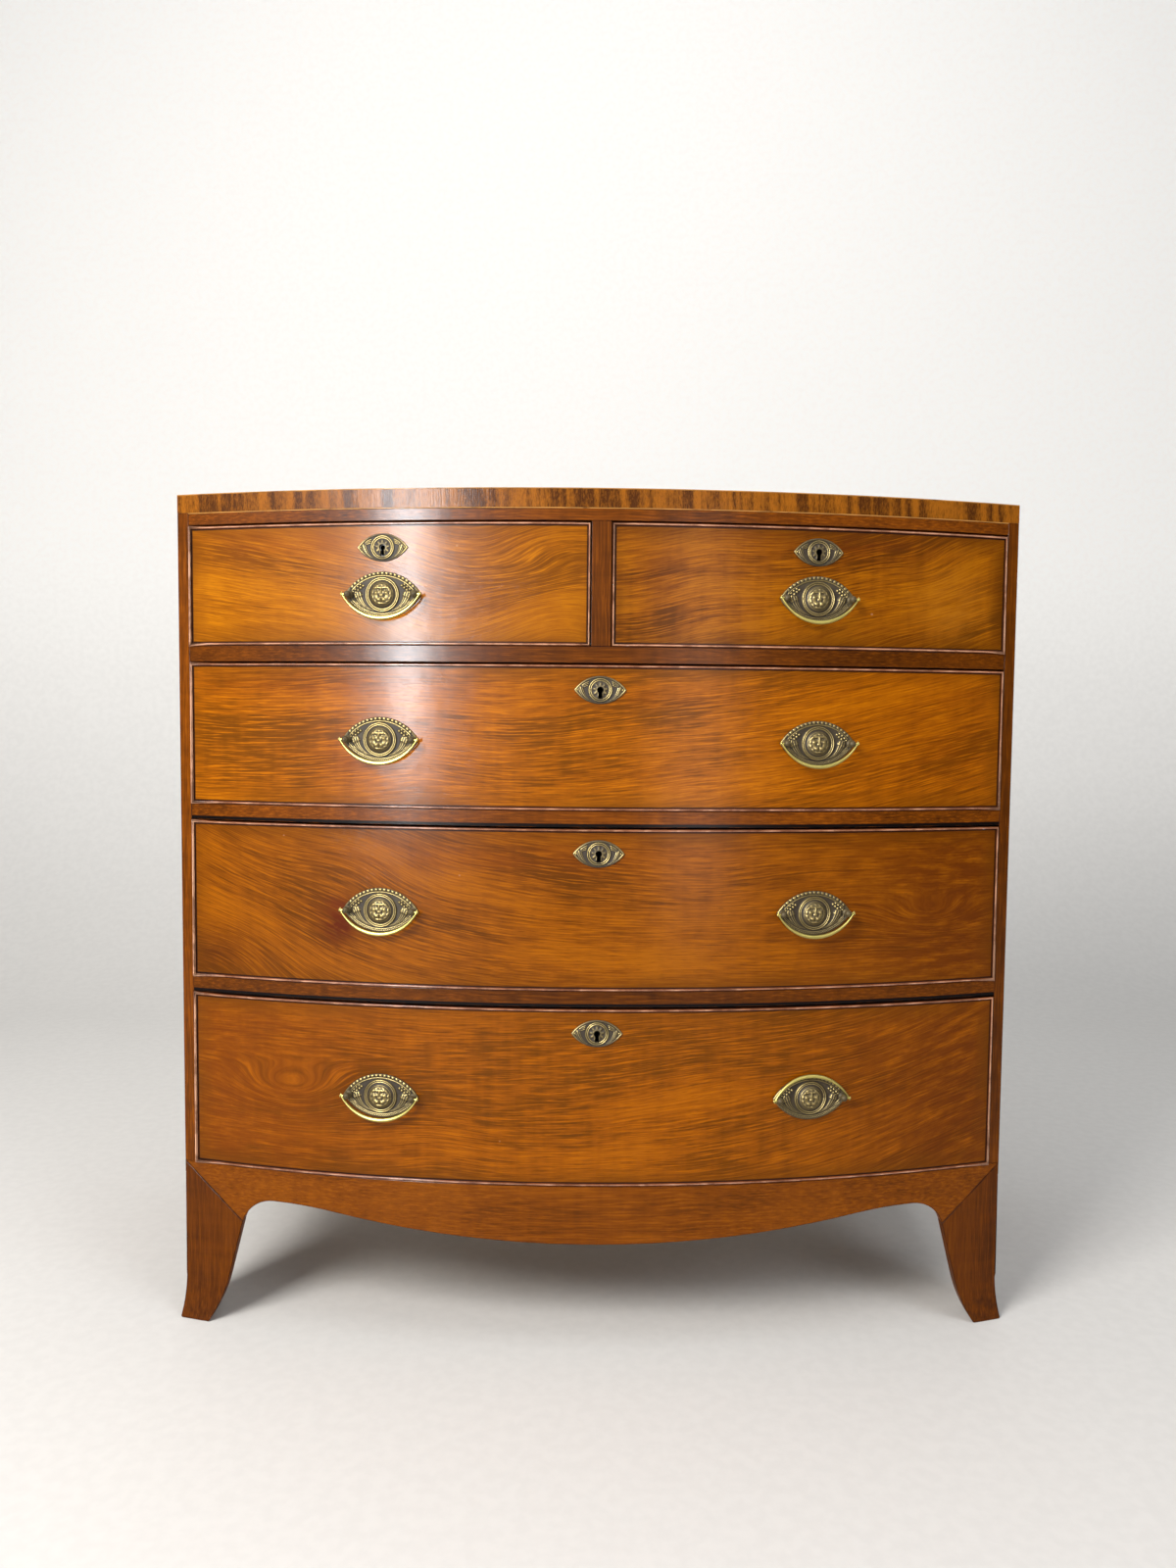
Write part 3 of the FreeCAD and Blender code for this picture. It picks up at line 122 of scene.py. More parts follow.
class ChestSizes(bpy.types.PropertyGroup):
    """Sizes of the details that the scene adds."""

    bow_rise: size("Bow rise", "How far the middle of the front stands before its corners", 0.08)
    worn_edge: size("Worn edge", "Width of the rounding on the carcass edges", 0.0007)
    foot_edge: size("Foot edge", "Width of the rounding on the edges of the feet and the apron", 0.0014)
    bead_nose: size("Bead nose", "Width of the rounding on the cock beads", 0.0013)
    top_border: size("Top border", "Width of the crossbanded border round the top", 0.045)
    plate_half_width: size("Plate half width", "From the middle of a backplate to its tip", 0.048)
    plate_half_height: size("Plate half height", "From the middle of a backplate to its upper edge", 0.0275)
    plate_sheet: size("Plate sheet", "Height of a backplate's ground over the wood", 0.0012)
    teeth: IntProperty(name="Teeth", description="Teeth on the upper rim of a backplate", default=21, min=5)
    strands: IntProperty(name="Strands", description="Strands in the roped lower rim", default=46, min=5)
    post_spread: size("Post spread", "From the middle of a backplate to each post", 0.0415)
    bail_half_width: size("Bail half width", "From the middle of a bail to the middle of its end", 0.048)
    bail_drop: size("Bail drop", "From the pivot down to the middle of a bail's grip", 0.0285)
    bail_grip: size("Bail grip", "Half height of a bail in the middle", 0.0025)
    bail_end: size("Bail end", "Half height of a bail near its ends", 0.001)
    bail_depth: size("Bail depth", "Half of a bail's thickness from front to back", 0.0021)
    cover_half_width: size("Cover half width", "From the middle of a keyhole plate to its tip", 0.0316)
    cover_half_height: size("Cover half height", "From the middle of a keyhole plate to its edge", 0.0168)
    cover_pin_spread: size("Cover pin spread", "From the keyhole to each pin of its plate", 0.0272)
    key_eye: size("Key eye", "Radius of the round part of a keyhole", 0.0040)
    key_slot: size("Key slot", "Width of the slot of a keyhole", 0.0048)
    key_drop: size("Key drop", "Length of the slot under the middle of the eye", 0.0106)


class ChestColours(bpy.types.PropertyGroup):
    """Colours of the woods and metals."""

    straight_light: colour("Rail light", "Light streaks of the plain mahogany", (0.22, 0.056, 0.001))
    straight_mid: colour("Rail middle", "Body of the plain mahogany", (0.115, 0.028, 0.0005))
    straight_dark: colour("Rail dark", "Dark streaks of the plain mahogany", (0.045, 0.011, 0.0005))
    base_light: colour("Base light", "Light streaks of the apron and the feet", (0.30, 0.083, 0.001))
    base_mid: colour("Base middle", "Body of the apron and the feet", (0.20, 0.049, 0.0005))
    base_dark: colour("Base dark", "Dark streaks of the apron and the feet", (0.07, 0.018, 0.0005))
    band_light: colour("Band light", "Light blocks of the crossbanding", (0.33, 0.106, 0.006))
    band_dark: colour("Band dark", "Dark blocks of the crossbanding", (0.072, 0.020, 0.002))
    boxwood: colour("Boxwood", "The thin light strings", (0.50, 0.24, 0.055))
    bead: colour("Bead", "Cock beading", (0.17, 0.045, 0.012))
    oak: colour("Oak", "Drawer linings", (0.40, 0.26, 0.13))
    pine: colour("Pine", "Back, runners and dustboards", (0.36, 0.22, 0.105))
    brass: colour("Brass", "Raised parts of the brasses", (0.245, 0.185, 0.075))
    patina: colour("Patina", "Recesses of the brasses", (0.040, 0.027, 0.014))
    bail: colour("Bail", "Bails, bright where they are held", (0.41, 0.345, 0.10))
    iron: colour("Iron", "Nails, screws and lock bolts", (0.10, 0.085, 0.075))
    # Used for dirt on worn edges, for the darker patches low on the feet, and as painted shade beside the beads, under
    # two rails and inside the keyholes.
    dirt: colour("Dirt", "Old wax and dirt in corners", (0.012, 0.005, 0.003))
    core: colour("Core", "Wood under the veneer of the drawer fronts", (0.30, 0.16, 0.07))


class ChestStudio(bpy.types.PropertyGroup):
    """Camera and studio."""

    camera_place: FloatVectorProperty(
        name="Camera place",
        description="Where the camera stands",
        default=(-0.034, -1.6555, 0.792),
        subtype="TRANSLATION",
        unit="LENGTH",
    )
    camera_yaw: FloatProperty(
        name="Yaw", description="How far the camera turns right", default=math.radians(0.835), subtype="ANGLE"
    )
    camera_pitch: FloatProperty(
        name="Pitch", description="How far the camera looks down", default=math.radians(3.578), subtype="ANGLE"
    )
    camera_roll: FloatProperty(
        name="Roll", description="How far the camera leans", default=math.radians(-0.539), subtype="ANGLE"
    )
    lens: FloatProperty(name="Lens", description="Focal length in millimetres", default=26.44, min=1)
    floor: colour("Floor", "Floor and backdrop", (0.72, 0.71, 0.69))


class ChestSettings(bpy.types.PropertyGroup):
    """All settings of the chest."""

    sizes: PointerProperty(name="Sizes", description="Sizes of the details", type=ChestSizes)
    colours: PointerProperty(name="Colours", description="Woods and metals", type=ChestColours)
    studio: PointerProperty(name="Studio", description="Camera and studio", type=ChestStudio)


def sizes():
    return bpy.context.scene.chest.sizes


def scaled(tone, factor):
    """That colour with every channel times the factor."""
    return tuple(factor * channel for channel in tone)


def tint(name, factor=1.0):
    """One of the colours in the scene's settings."""
    return scaled(getattr(bpy.context.scene.chest.colours, name), factor)


def plain_tones():
    """Light streaks, body and dark streaks of the plain mahogany."""
    return tint("straight_light"), tint("straight_mid"), tint("straight_dark")


# ---------------------------------------------------------------------------------- places on the front


def bow_radius():
    rise = sizes().bow_rise
    return (HALF_WIDTH**2 + rise**2) / (2 * rise)


def on_front(x, z):
    """Matrix that sets something made about the origin on the bowed front: its X along the face, its Y inwards."""
    radius = bow_radius()
    y = FRONT_Y + radius - math.sqrt(radius**2 - x**2)
    return Matrix.Translation((x, y, z)) @ Matrix.Rotation(math.asin(x / radius), 4, "Z")


def handle_place(bail):
    """Matrix of the backplate under a bail, from the bail's pivot."""
    pivot = Vector(JOINTS[f"{bail}_swing"]["pos_m"])
    centre = Vector((0, FRONT_Y + bow_radius()))
    turn = math.atan2(pivot.x - centre.x, centre.y - pivot.y)
    return on_front(bow_radius() * math.sin(turn), pivot.z)


def bails_of(drawer):
    names = [f"{drawer}_left_bail", f"{drawer}_right_bail", f"{drawer}_bail"]
    return [name for name in names if name in frame["bodies"]]


def keyhole_place(drawer):
    """Matrix of a drawer's keyhole, which lies over the middle of its lock."""
    low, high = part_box(f"{drawer}_lock_bolt")
    bolt_x, bolt_y = (low[0] + high[0]) / 2, (low[1] + high[1]) / 2
    turn = math.atan2(bolt_x, FRONT_Y + bow_radius() - bolt_y)
    return on_front(bow_radius() * math.sin(turn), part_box(f"{drawer}_front")[1][2] - KEYHOLE_BELOW_TOP)


def pair(place, spread):
    """Two places, that far to the left and the right of one."""
    return [place @ Matrix.Translation((side * spread, 0, 0)) for side in (-1, 1)]


# ---------------------------------------------------------------------------------- meshes


def piece(name, mesh, *materials):
    """A new object for a mesh that already lies in its place."""
    mesh.name = name
    made = bpy.data.objects.new(name, mesh)
    bpy.context.scene.collection.objects.link(made)
    for material in materials:
        mesh.materials.append(material)
    return made


def smooth(mesh, angle=SOFT_ANGLE):
    """Smooth shading, but for edges sharper than that."""
    mesh.polygons.foreach_set("use_smooth", [True] * len(mesh.polygons))
    mesh.set_sharp_from_angle(angle=angle)
    mesh.update()


def merged_node(node):
    """A CAD node's shape with its loose triangles merged and its flat faces made whole."""
    shape = bmesh.new()
    shape.from_mesh(frame["nodes"][node].data)
    bmesh.ops.remove_doubles(shape, verts=shape.verts, dist=MERGE_DISTANCE)
    bmesh.ops.dissolve_limit(shape, angle_limit=math.radians(0.2), verts=shape.verts, edges=shape.edges)
    return shape


def sharp_edges(shape):
    return [edge for edge in shape.edges if len(edge.link_faces) == 2 and edge.calc_face_angle(0) > SHARP_ANGLE]


def close_slits(shape):
    """Closes each ring of open edges with a face, always in the same order. Gives the new faces."""
    left = {edge: edge.link_loops[0] for edge in shape.edges if edge.is_boundary}
    rings = []
    while left:
        loop = left.pop(next(iter(left)))
        path = [loop.link_loop_next.vert]
        while loop:
            if loop.vert in path:
                at = path.index(loop.vert)
                rings.append(path[at:])
                del path[at:]
            path.append(loop.vert)
            open_edges = [edge for edge in loop.vert.link_edges if edge in left]
            onward = [edge for edge in open_edges if left[edge].link_loop_next.vert == loop.vert]
            loop = left.pop(onward[0]) if onward else None
    return [shape.faces.new(ring) for ring in rings if len(ring) > 2 and not shape.faces.get(ring)]


def round_edges(shape, edges, width, segments=2):
    """Rounds edges and marks their faces as worn. Slits that this leaves where two solids touch are closed."""
    worn = shape.faces.layers.float.new("worn")
    made = bmesh.ops.bevel(
        shape, geom=edges, offset=width, segments=segments, profile=0.5, affect="EDGES", clamp_overlap=False
    )
    for face in made["faces"]:
        face[worn] = 1
    for face in close_slits(shape):
        face[worn] = 1
    return shape


def true_normals(shape):
    """A normal for each corner of each face, in the mesh's order.

    Flat faces stay flat up to their rounded edges, and faces of the bow get the bow's own normal.
    """
    worn_layer = shape.faces.layers.float.get("worn")
    centre = Vector((0, FRONT_Y + bow_radius(), 0))
    soft = math.cos(SOFT_ANGLE)

    def kept(face):
        return worn_layer is None or face[worn_layer] < 0.5

    def own(face, vert):
        outward = Vector((vert.co.x - centre.x, vert.co.y - centre.y, 0)).normalized()
        along = face.normal.dot(outward)
        if abs(along) > 0.9995 and abs(face.normal.z) < 0.01:
            return outward if along > 0 else -outward
        return face.normal

    def blend(face, vert, others, limit):
        total = Vector()
        for other in others:
            if other.normal.dot(face.normal) > limit:
                total += own(other, vert) * other.calc_area()
        return total.normalized() if total.length else face.normal

    normals = []
    for face in shape.faces:
        for loop in face.loops:
            vert = loop.vert
            flat = [other for other in vert.link_faces if kept(other)]
            if kept(face):
                normals.append(own(face, vert) if own(face, vert) != face.normal else blend(face, vert, flat, soft))
            elif flat:
                nearest = max(flat, key=lambda other: other.normal.dot(face.normal))
                normals.append(blend(nearest, vert, flat, soft))
            else:
                normals.append(blend(face, vert, vert.link_faces, 0.4))
    return normals


def finished(shape, name, *materials):
    """The bmesh as a smoothly shaded piece."""
    shape.normal_update()
    normals = true_normals(shape)
    mesh = bpy.data.meshes.new(name)
    shape.to_mesh(mesh)
    shape.free()
    smooth(mesh)
    mesh.normals_split_custom_set(normals)
    return piece(name, mesh, *materials)


def settle(made, body="carcass", node=None):
    """The finished piece rides on its body. It stands for its CAD node, if it has one of its own."""
    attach(made, body)
    if node:
        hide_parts(node)
    return made


def worn_board(node, material, width, body="carcass", name=None):
    """A CAD board with its sharp edges rubbed round."""
    shape = merged_node(node)
    round_edges(shape, sharp_edges(shape), width)
    return settle(finished(shape, name or f"{node}_worn", material), body, node)


def baked(made):
    """The object's evaluated mesh as a plain mesh. The object that held the modifiers is removed."""
    graph = bpy.context.evaluated_depsgraph_get()
    mesh = bpy.data.meshes.new_from_object(made.evaluated_get(graph), depsgraph=graph)
    bpy.data.objects.remove(made)
    return mesh


def turned(profile, segments=24):
    """A closed shape turned about Y: (radius, how far out), from the wood outwards."""
    shape = bmesh.new()
    rings = []
    for radius, out in profile:
        if radius <= 0:
            rings.append([shape.verts.new((0, -out, 0))])
            continue
        angles = [2 * math.pi * step / segments for step in range(segments)]
        rings.append([shape.verts.new((radius * math.cos(a), -out, radius * math.sin(a))) for a in angles])
    for near, far in zip(rings, rings[1:]):
        for step in range(segments):
            after = (step + 1) % segments
            corners = [near[step % len(near)], near[after % len(near)], far[after % len(far)], far[step % len(far)]]
            unique = list(dict.fromkeys(corners))
            if len(unique) > 2:
                shape.faces.new(unique)
    for ring in (rings[0], rings[-1]):
        if len(ring) > 1:
            shape.faces.new(ring)
    bmesh.ops.recalc_face_normals(shape, faces=shape.faces)
    return shape


def slotted(shape, width, depth):
    """The same turned screw, with a slot across its head."""
    for place in (width / 2, width / 2 + depth / 6):
        for side in (-1, 1):
            head = [face for face in shape.faces if all(vert.co.y < 0 for vert in face.verts)]
            edges = {edge for face in head for edge in face.edges}
            corners = {vert for face in head for vert in face.verts}
            bmesh.ops.bisect_plane(
                shape, geom=[*head, *edges, *corners], plane_co=(0, 0, side * place), plane_no=(0, 0, 1), dist=1e-7
            )
    for vert in shape.verts:
        if abs(vert.co.z) < width / 2 + 1e-6 and vert.co.y < -depth / 2:
            vert.co.y += depth
    return shape


def swept(sections):
    """A closed tube through rings of corners."""
    shape = bmesh.new()
    rings = [[shape.verts.new(corner) for corner in ring] for ring in sections]
    for near, far in zip(rings, rings[1:]):
        count = len(near)
        for step in range(count):
            after = (step + 1) % count
            shape.faces.new((near[step], near[after], far[after], far[step]))
    shape.faces.new(rings[0])
    shape.faces.new(rings[-1])
    bmesh.ops.recalc_face_normals(shape, faces=shape.faces)
    return shape


# ---------------------------------------------------------------------------------- node trees


class Wiring:
    """Adds nodes to a tree and joins their sockets."""

    def __init__(self, tree):
        self.tree = tree

    def add(self, kind, inputs=None, **settings):
        made = self.tree.nodes.new(kind)
        for key, setting in settings.items():
            setattr(made, key, setting)
        self.feed(made, inputs or {})
        return made

    def feed(self, node, inputs):
        for key, given in inputs.items():
            self.join(given, node.inputs[key])

    def join(self, given, socket):
        if isinstance(given, bpy.types.NodeSocket):
            self.tree.links.new(given, socket)
        elif socket.type == "RGBA" and len(given) == 3:
            socket.default_value = (*given, 1)
        else:
            socket.default_value = given

    def math(self, operation, *values):
        return self.add("ShaderNodeMath", dict(enumerate(values)), operation=operation).outputs[0]

    def times(self, first, second):
        return self.math("MULTIPLY", first, second)

    def minus(self, first, second):
        return self.math("SUBTRACT", first, second)

    def sway(self, noise, weight, base):
        """The base, moved up and down by a noise about its middle."""
        return self.math("MULTIPLY_ADD", self.minus(noise, 0.5), weight, base)

    def vector(self, operation, *values):
        made = self.add("ShaderNodeVectorMath", dict(enumerate(values)), operation=operation)
        return made.outputs["Value" if operation == "DISTANCE" else 0]

    def split(self, vector):
        return self.add("ShaderNodeSeparateXYZ", {0: vector}).outputs

    def join_xyz(self, x, y, z):
        return self.add("ShaderNodeCombineXYZ", {0: x, 1: y, 2: z}).outputs[0]

    def noise(self, vector, scale, detail=2.0, roughness=0.5):
        """Noise from 0 to 1 at the vector, stretched when scale is a triple."""
        if isinstance(scale, tuple):
            vector = self.vector("MULTIPLY", vector, scale)
            scale = 1.0
        inputs = {"Vector": vector, "Scale": scale, "Detail": detail, "Roughness": roughness}
        return self.add("ShaderNodeTexNoise", inputs).outputs["Fac"]

    def span(self, given, low, high, to_low=0.0, to_high=1.0, kind="SMOOTHSTEP"):
        inputs = {"Value": given, "From Min": low, "From Max": high, "To Min": to_low, "To Max": to_high}
        return self.add("ShaderNodeMapRange", inputs, interpolation_type=kind).outputs[0]

    def mix(self, share, first, second, blend="MIX"):
        made = self.add("ShaderNodeMix", {0: share, 6: first, 7: second}, data_type="RGBA", blend_type=blend)
        return made.outputs[2]

    def shade(self, given, factor):
        """A colour times a number."""
        return self.mix(1.0, given, self.join_xyz(factor, factor, factor), "MULTIPLY")

    def attribute(self, name):
        return self.add("ShaderNodeAttribute", attribute_name=name).outputs["Fac"]

    def object_place(self):
        return self.add("ShaderNodeTexCoord").outputs["Object"]

    def turned_place(self, order, offset=(0, 0, 0)):
        """Object place with its axes in that order, so that the first runs along the grain."""
        parts = self.split(self.object_place())
        return self.vector("ADD", self.join_xyz(*[parts["xyz".index(axis)] for axis in order]), offset)

    def group(self, build, inputs):
        """One of the shared groups, built on its first use."""
        tree = bpy.data.node_groups.get(build.__name__) or build(build.__name__)
        return self.add("ShaderNodeGroup", inputs, node_tree=tree)

    def grain(self, place, tones, **others):
        """Sawn wood at a place that has its X along the grain. tones are light, middle and dark."""
        return self.group(cut_grain, {"Board": place, **dict(zip(("Light", "Middle", "Dark"), tones)), **others})


def new_group(name, inputs, outputs):
    """A shader group with those sockets: {name: (kind, default)}. Gives its wiring and its two ends."""
    group = bpy.data.node_groups.new(name, "ShaderNodeTree")
    for label, (kind, default) in inputs.items():
        socket = group.interface.new_socket(label, in_out="INPUT", socket_type=f"NodeSocket{kind}")
        socket.default_value = (*default, 1) if kind == "Color" else default
    for label, kind in outputs.items():
        group.interface.new_socket(label, in_out="OUTPUT", socket_type=f"NodeSocket{kind}")
    wiring = Wiring(group)
    return wiring, wiring.add("NodeGroupInput").outputs, wiring.add("NodeGroupOutput")


def cut_grain(name):
    """Sawn and polished wood. Board is a place with X along the grain and Y across it, in metres."""
    tones = {"Light": (0.5, 0.2, 0.05), "Middle": (0.3, 0.1, 0.02), "Dark": (0.1, 0.02, 0.0)}
    weights = {"Streaks": 0.6, "Pores": 0.5, "Mottle": 0.5, "Clouds": 1.0, "Flecks": 1.2}
    inputs = {"Board": ("Vector", (0, 0, 0))}
    inputs.update({label: ("Color", tone) for label, tone in tones.items()})
    inputs.update({label: ("Float", weight) for label, weight in weights.items()})
    w, given, end = new_group(name, inputs, {"Color": "Color", "Height": "Float", "Fibre": "Float"})
    along, across, deep = w.split(given["Board"])
    wander = w.noise(given["Board"], (2.5, 10.0, 10.0))
    ripple = w.noise(given["Board"], (16.0, 45.0, 45.0), detail=1)
    board = w.join_xyz(along, w.sway(ripple, 0.003, w.sway(wander, 0.012, across)), deep)
    bands = w.noise(board, (1.5, 26.0, 26.0), detail=3, roughness=0.6)
    streaks = w.noise(board, (5.0, 150.0, 150.0), detail=4, roughness=0.65)
    flecks = w.noise(board, (20.0, 480.0, 480.0), detail=3, roughness=0.6)
    pores = w.noise(board, (70.0, 1400.0, 1400.0), detail=1)
    mottle = w.noise(board, (80.0, 12.0, 12.0))
    cloud = w.noise(given["Board"], (5.0, 11.0, 11.0), detail=3)

    tone = 0.5
    for noise, weight in (
        (bands, "Clouds"), (cloud, "Clouds"), (streaks, "Streaks"), (flecks, "Flecks"), (mottle, "Mottle")
    ):
        tone = w.sway(noise, given[weight], tone)
    body = w.mix(w.span(tone, 0.0, 0.5, kind="LINEAR"), given["Dark"], given["Middle"])
    body = w.mix(w.span(tone, 0.5, 1.05, kind="LINEAR"), body, given["Light"])
    glints = w.times(w.span(flecks, 0.54, 0.66), w.times(given["Flecks"], 0.22))
    body = w.mix(glints, body, w.shade(given["Light"], 1.2))
    pore_share = w.times(w.span(pores, 0.56, 0.70), given["Pores"])
    body = w.mix(pore_share, body, given["Dark"])
    height = w.minus(w.times(flecks, 0.15), w.times(pore_share, 0.25))
    w.feed(end, {"Color": body, "Height": height, "Fibre": flecks})
    return w.tree


def bend_grain(name):
    """Pushes the grain up or down round one spot, as a knot or a crotch does."""
    inputs = {label: ("Float", 0.0) for label in ("X", "Z", "Across", "Spot X", "Spot Z")}
    inputs.update({"Reach X": ("Float", 0.1), "Reach Z": ("Float", 0.1), "Push": ("Float", 0.0)})
    w, given, end = new_group(name, inputs, {"Across": "Float", "Share": "Float"})
    sides = []
    for axis in ("X", "Z"):
        away = w.math("DIVIDE", w.minus(given[axis], given[f"Spot {axis}"]), given[f"Reach {axis}"])
        sides.append(w.times(away, away))
    share = w.math("EXPONENT", w.times(w.math("ADD", *sides), -1.0))
    w.feed(end, {"Across": w.math("MULTIPLY_ADD", share, given["Push"], given["Across"]), "Share": share})
    return w.tree


def new_material(name):
    """An empty material: its wiring, its surface shader and the place on the object."""
    material = bpy.data.materials.new(name)
    material.use_nodes = True
    material.node_tree.nodes.clear()
    w = Wiring(material.node_tree)
    shader = w.add("ShaderNodeBsdfPrincipled")
    w.add("ShaderNodeOutputMaterial", {"Surface": shader.outputs[0]})
    return material, w, shader, w.object_place()


def bump(w, shader, height, distance):
    made = w.add("ShaderNodeBump", {"Height": height, "Distance": distance, "Strength": 1.0})
    w.feed(shader, {"Normal": made.outputs[0]})


def polish(w, shader, body, height, fibre, place, rough=(0.34, 0.5), gloss=0.17):
    """Old wax polish over wood: a clear sharp gloss over a dull body, duller where it is handled."""
    smears = w.noise(place, 7.0, detail=3, roughness=0.6)
    dulled = {"Roughness": w.sway(fibre, 0.12, w.span(smears, 0.3, 0.75, *rough)), "Specular IOR Level": 0.02}
    coat = {"Coat Weight": gloss, "Coat Roughness": 0.20, "Coat IOR": 1.45}
    w.feed(shader, {"Base Color": body, **dulled, **coat})
    bump(w, shader, w.math("ADD", height, w.times(w.noise(place, 24.0), 2.2)), 0.00012)
    w.feed(shader, {"Coat Normal": shader.inputs["Normal"].links[0].from_socket})


def worn_colour(w, place, body, light):
    """Rubbed edges, here light and there dark with dirt."""
    patchy = w.noise(place, 38.0, detail=3, roughness=0.7)
    edge = w.mix(w.span(patchy, 0.42, 0.62), tint("dirt"), light)
    return w.mix(w.times(w.attribute("worn"), w.span(patchy, 0.2, 0.8, 0.35, 0.95)), body, edge)


# ---------------------------------------------------------------------------------- woods


def plain_mahogany(name, order, offset, tones, mottle=0.4, foot=False, shade_band_from=None):
    """Straight grained mahogany. tones are light, middle and dark. Given a height, painted shade darkens the lowest 4
    to 5 mm of the wood above it, widening the gap line there.
    """
    material, w, shader, place = new_material(name)
    wood = w.grain(w.turned_place(order, offset), tones, Streaks=0.5, Pores=0.3, Mottle=mottle, Clouds=0.7)
    body = wood.outputs["Color"]
    z = w.split(place)[2]
    if shade_band_from is not None:
        # Painted shade: the rail's lowest 4 to 5 mm near black, which widens the dark gap over the drawer below.
        gap_shade = w.span(z, shade_band_from + 0.0036, shade_band_from + 0.0050, 1.0, 0.0)
        body = w.mix(gap_shade, body, tint("dirt", 0.3))
    if foot:
        # The feet darker in patches over their lowest 7 cm, towards the floor.
        low_patches = w.noise(place, 30.0, detail=4, roughness=0.7)
        darker_low = w.times(w.span(z, 0.0, 0.07, 1.0, 0.0), w.span(low_patches, 0.48, 0.66))
        body = w.mix(w.times(darker_low, 0.6), body, tint("dirt"))
    body = worn_colour(w, place, body, tones[1])
    polish(w, shader, body, wood.outputs["Height"], wood.outputs["Fibre"], place, (0.38, 0.55), 0.2)
    return material
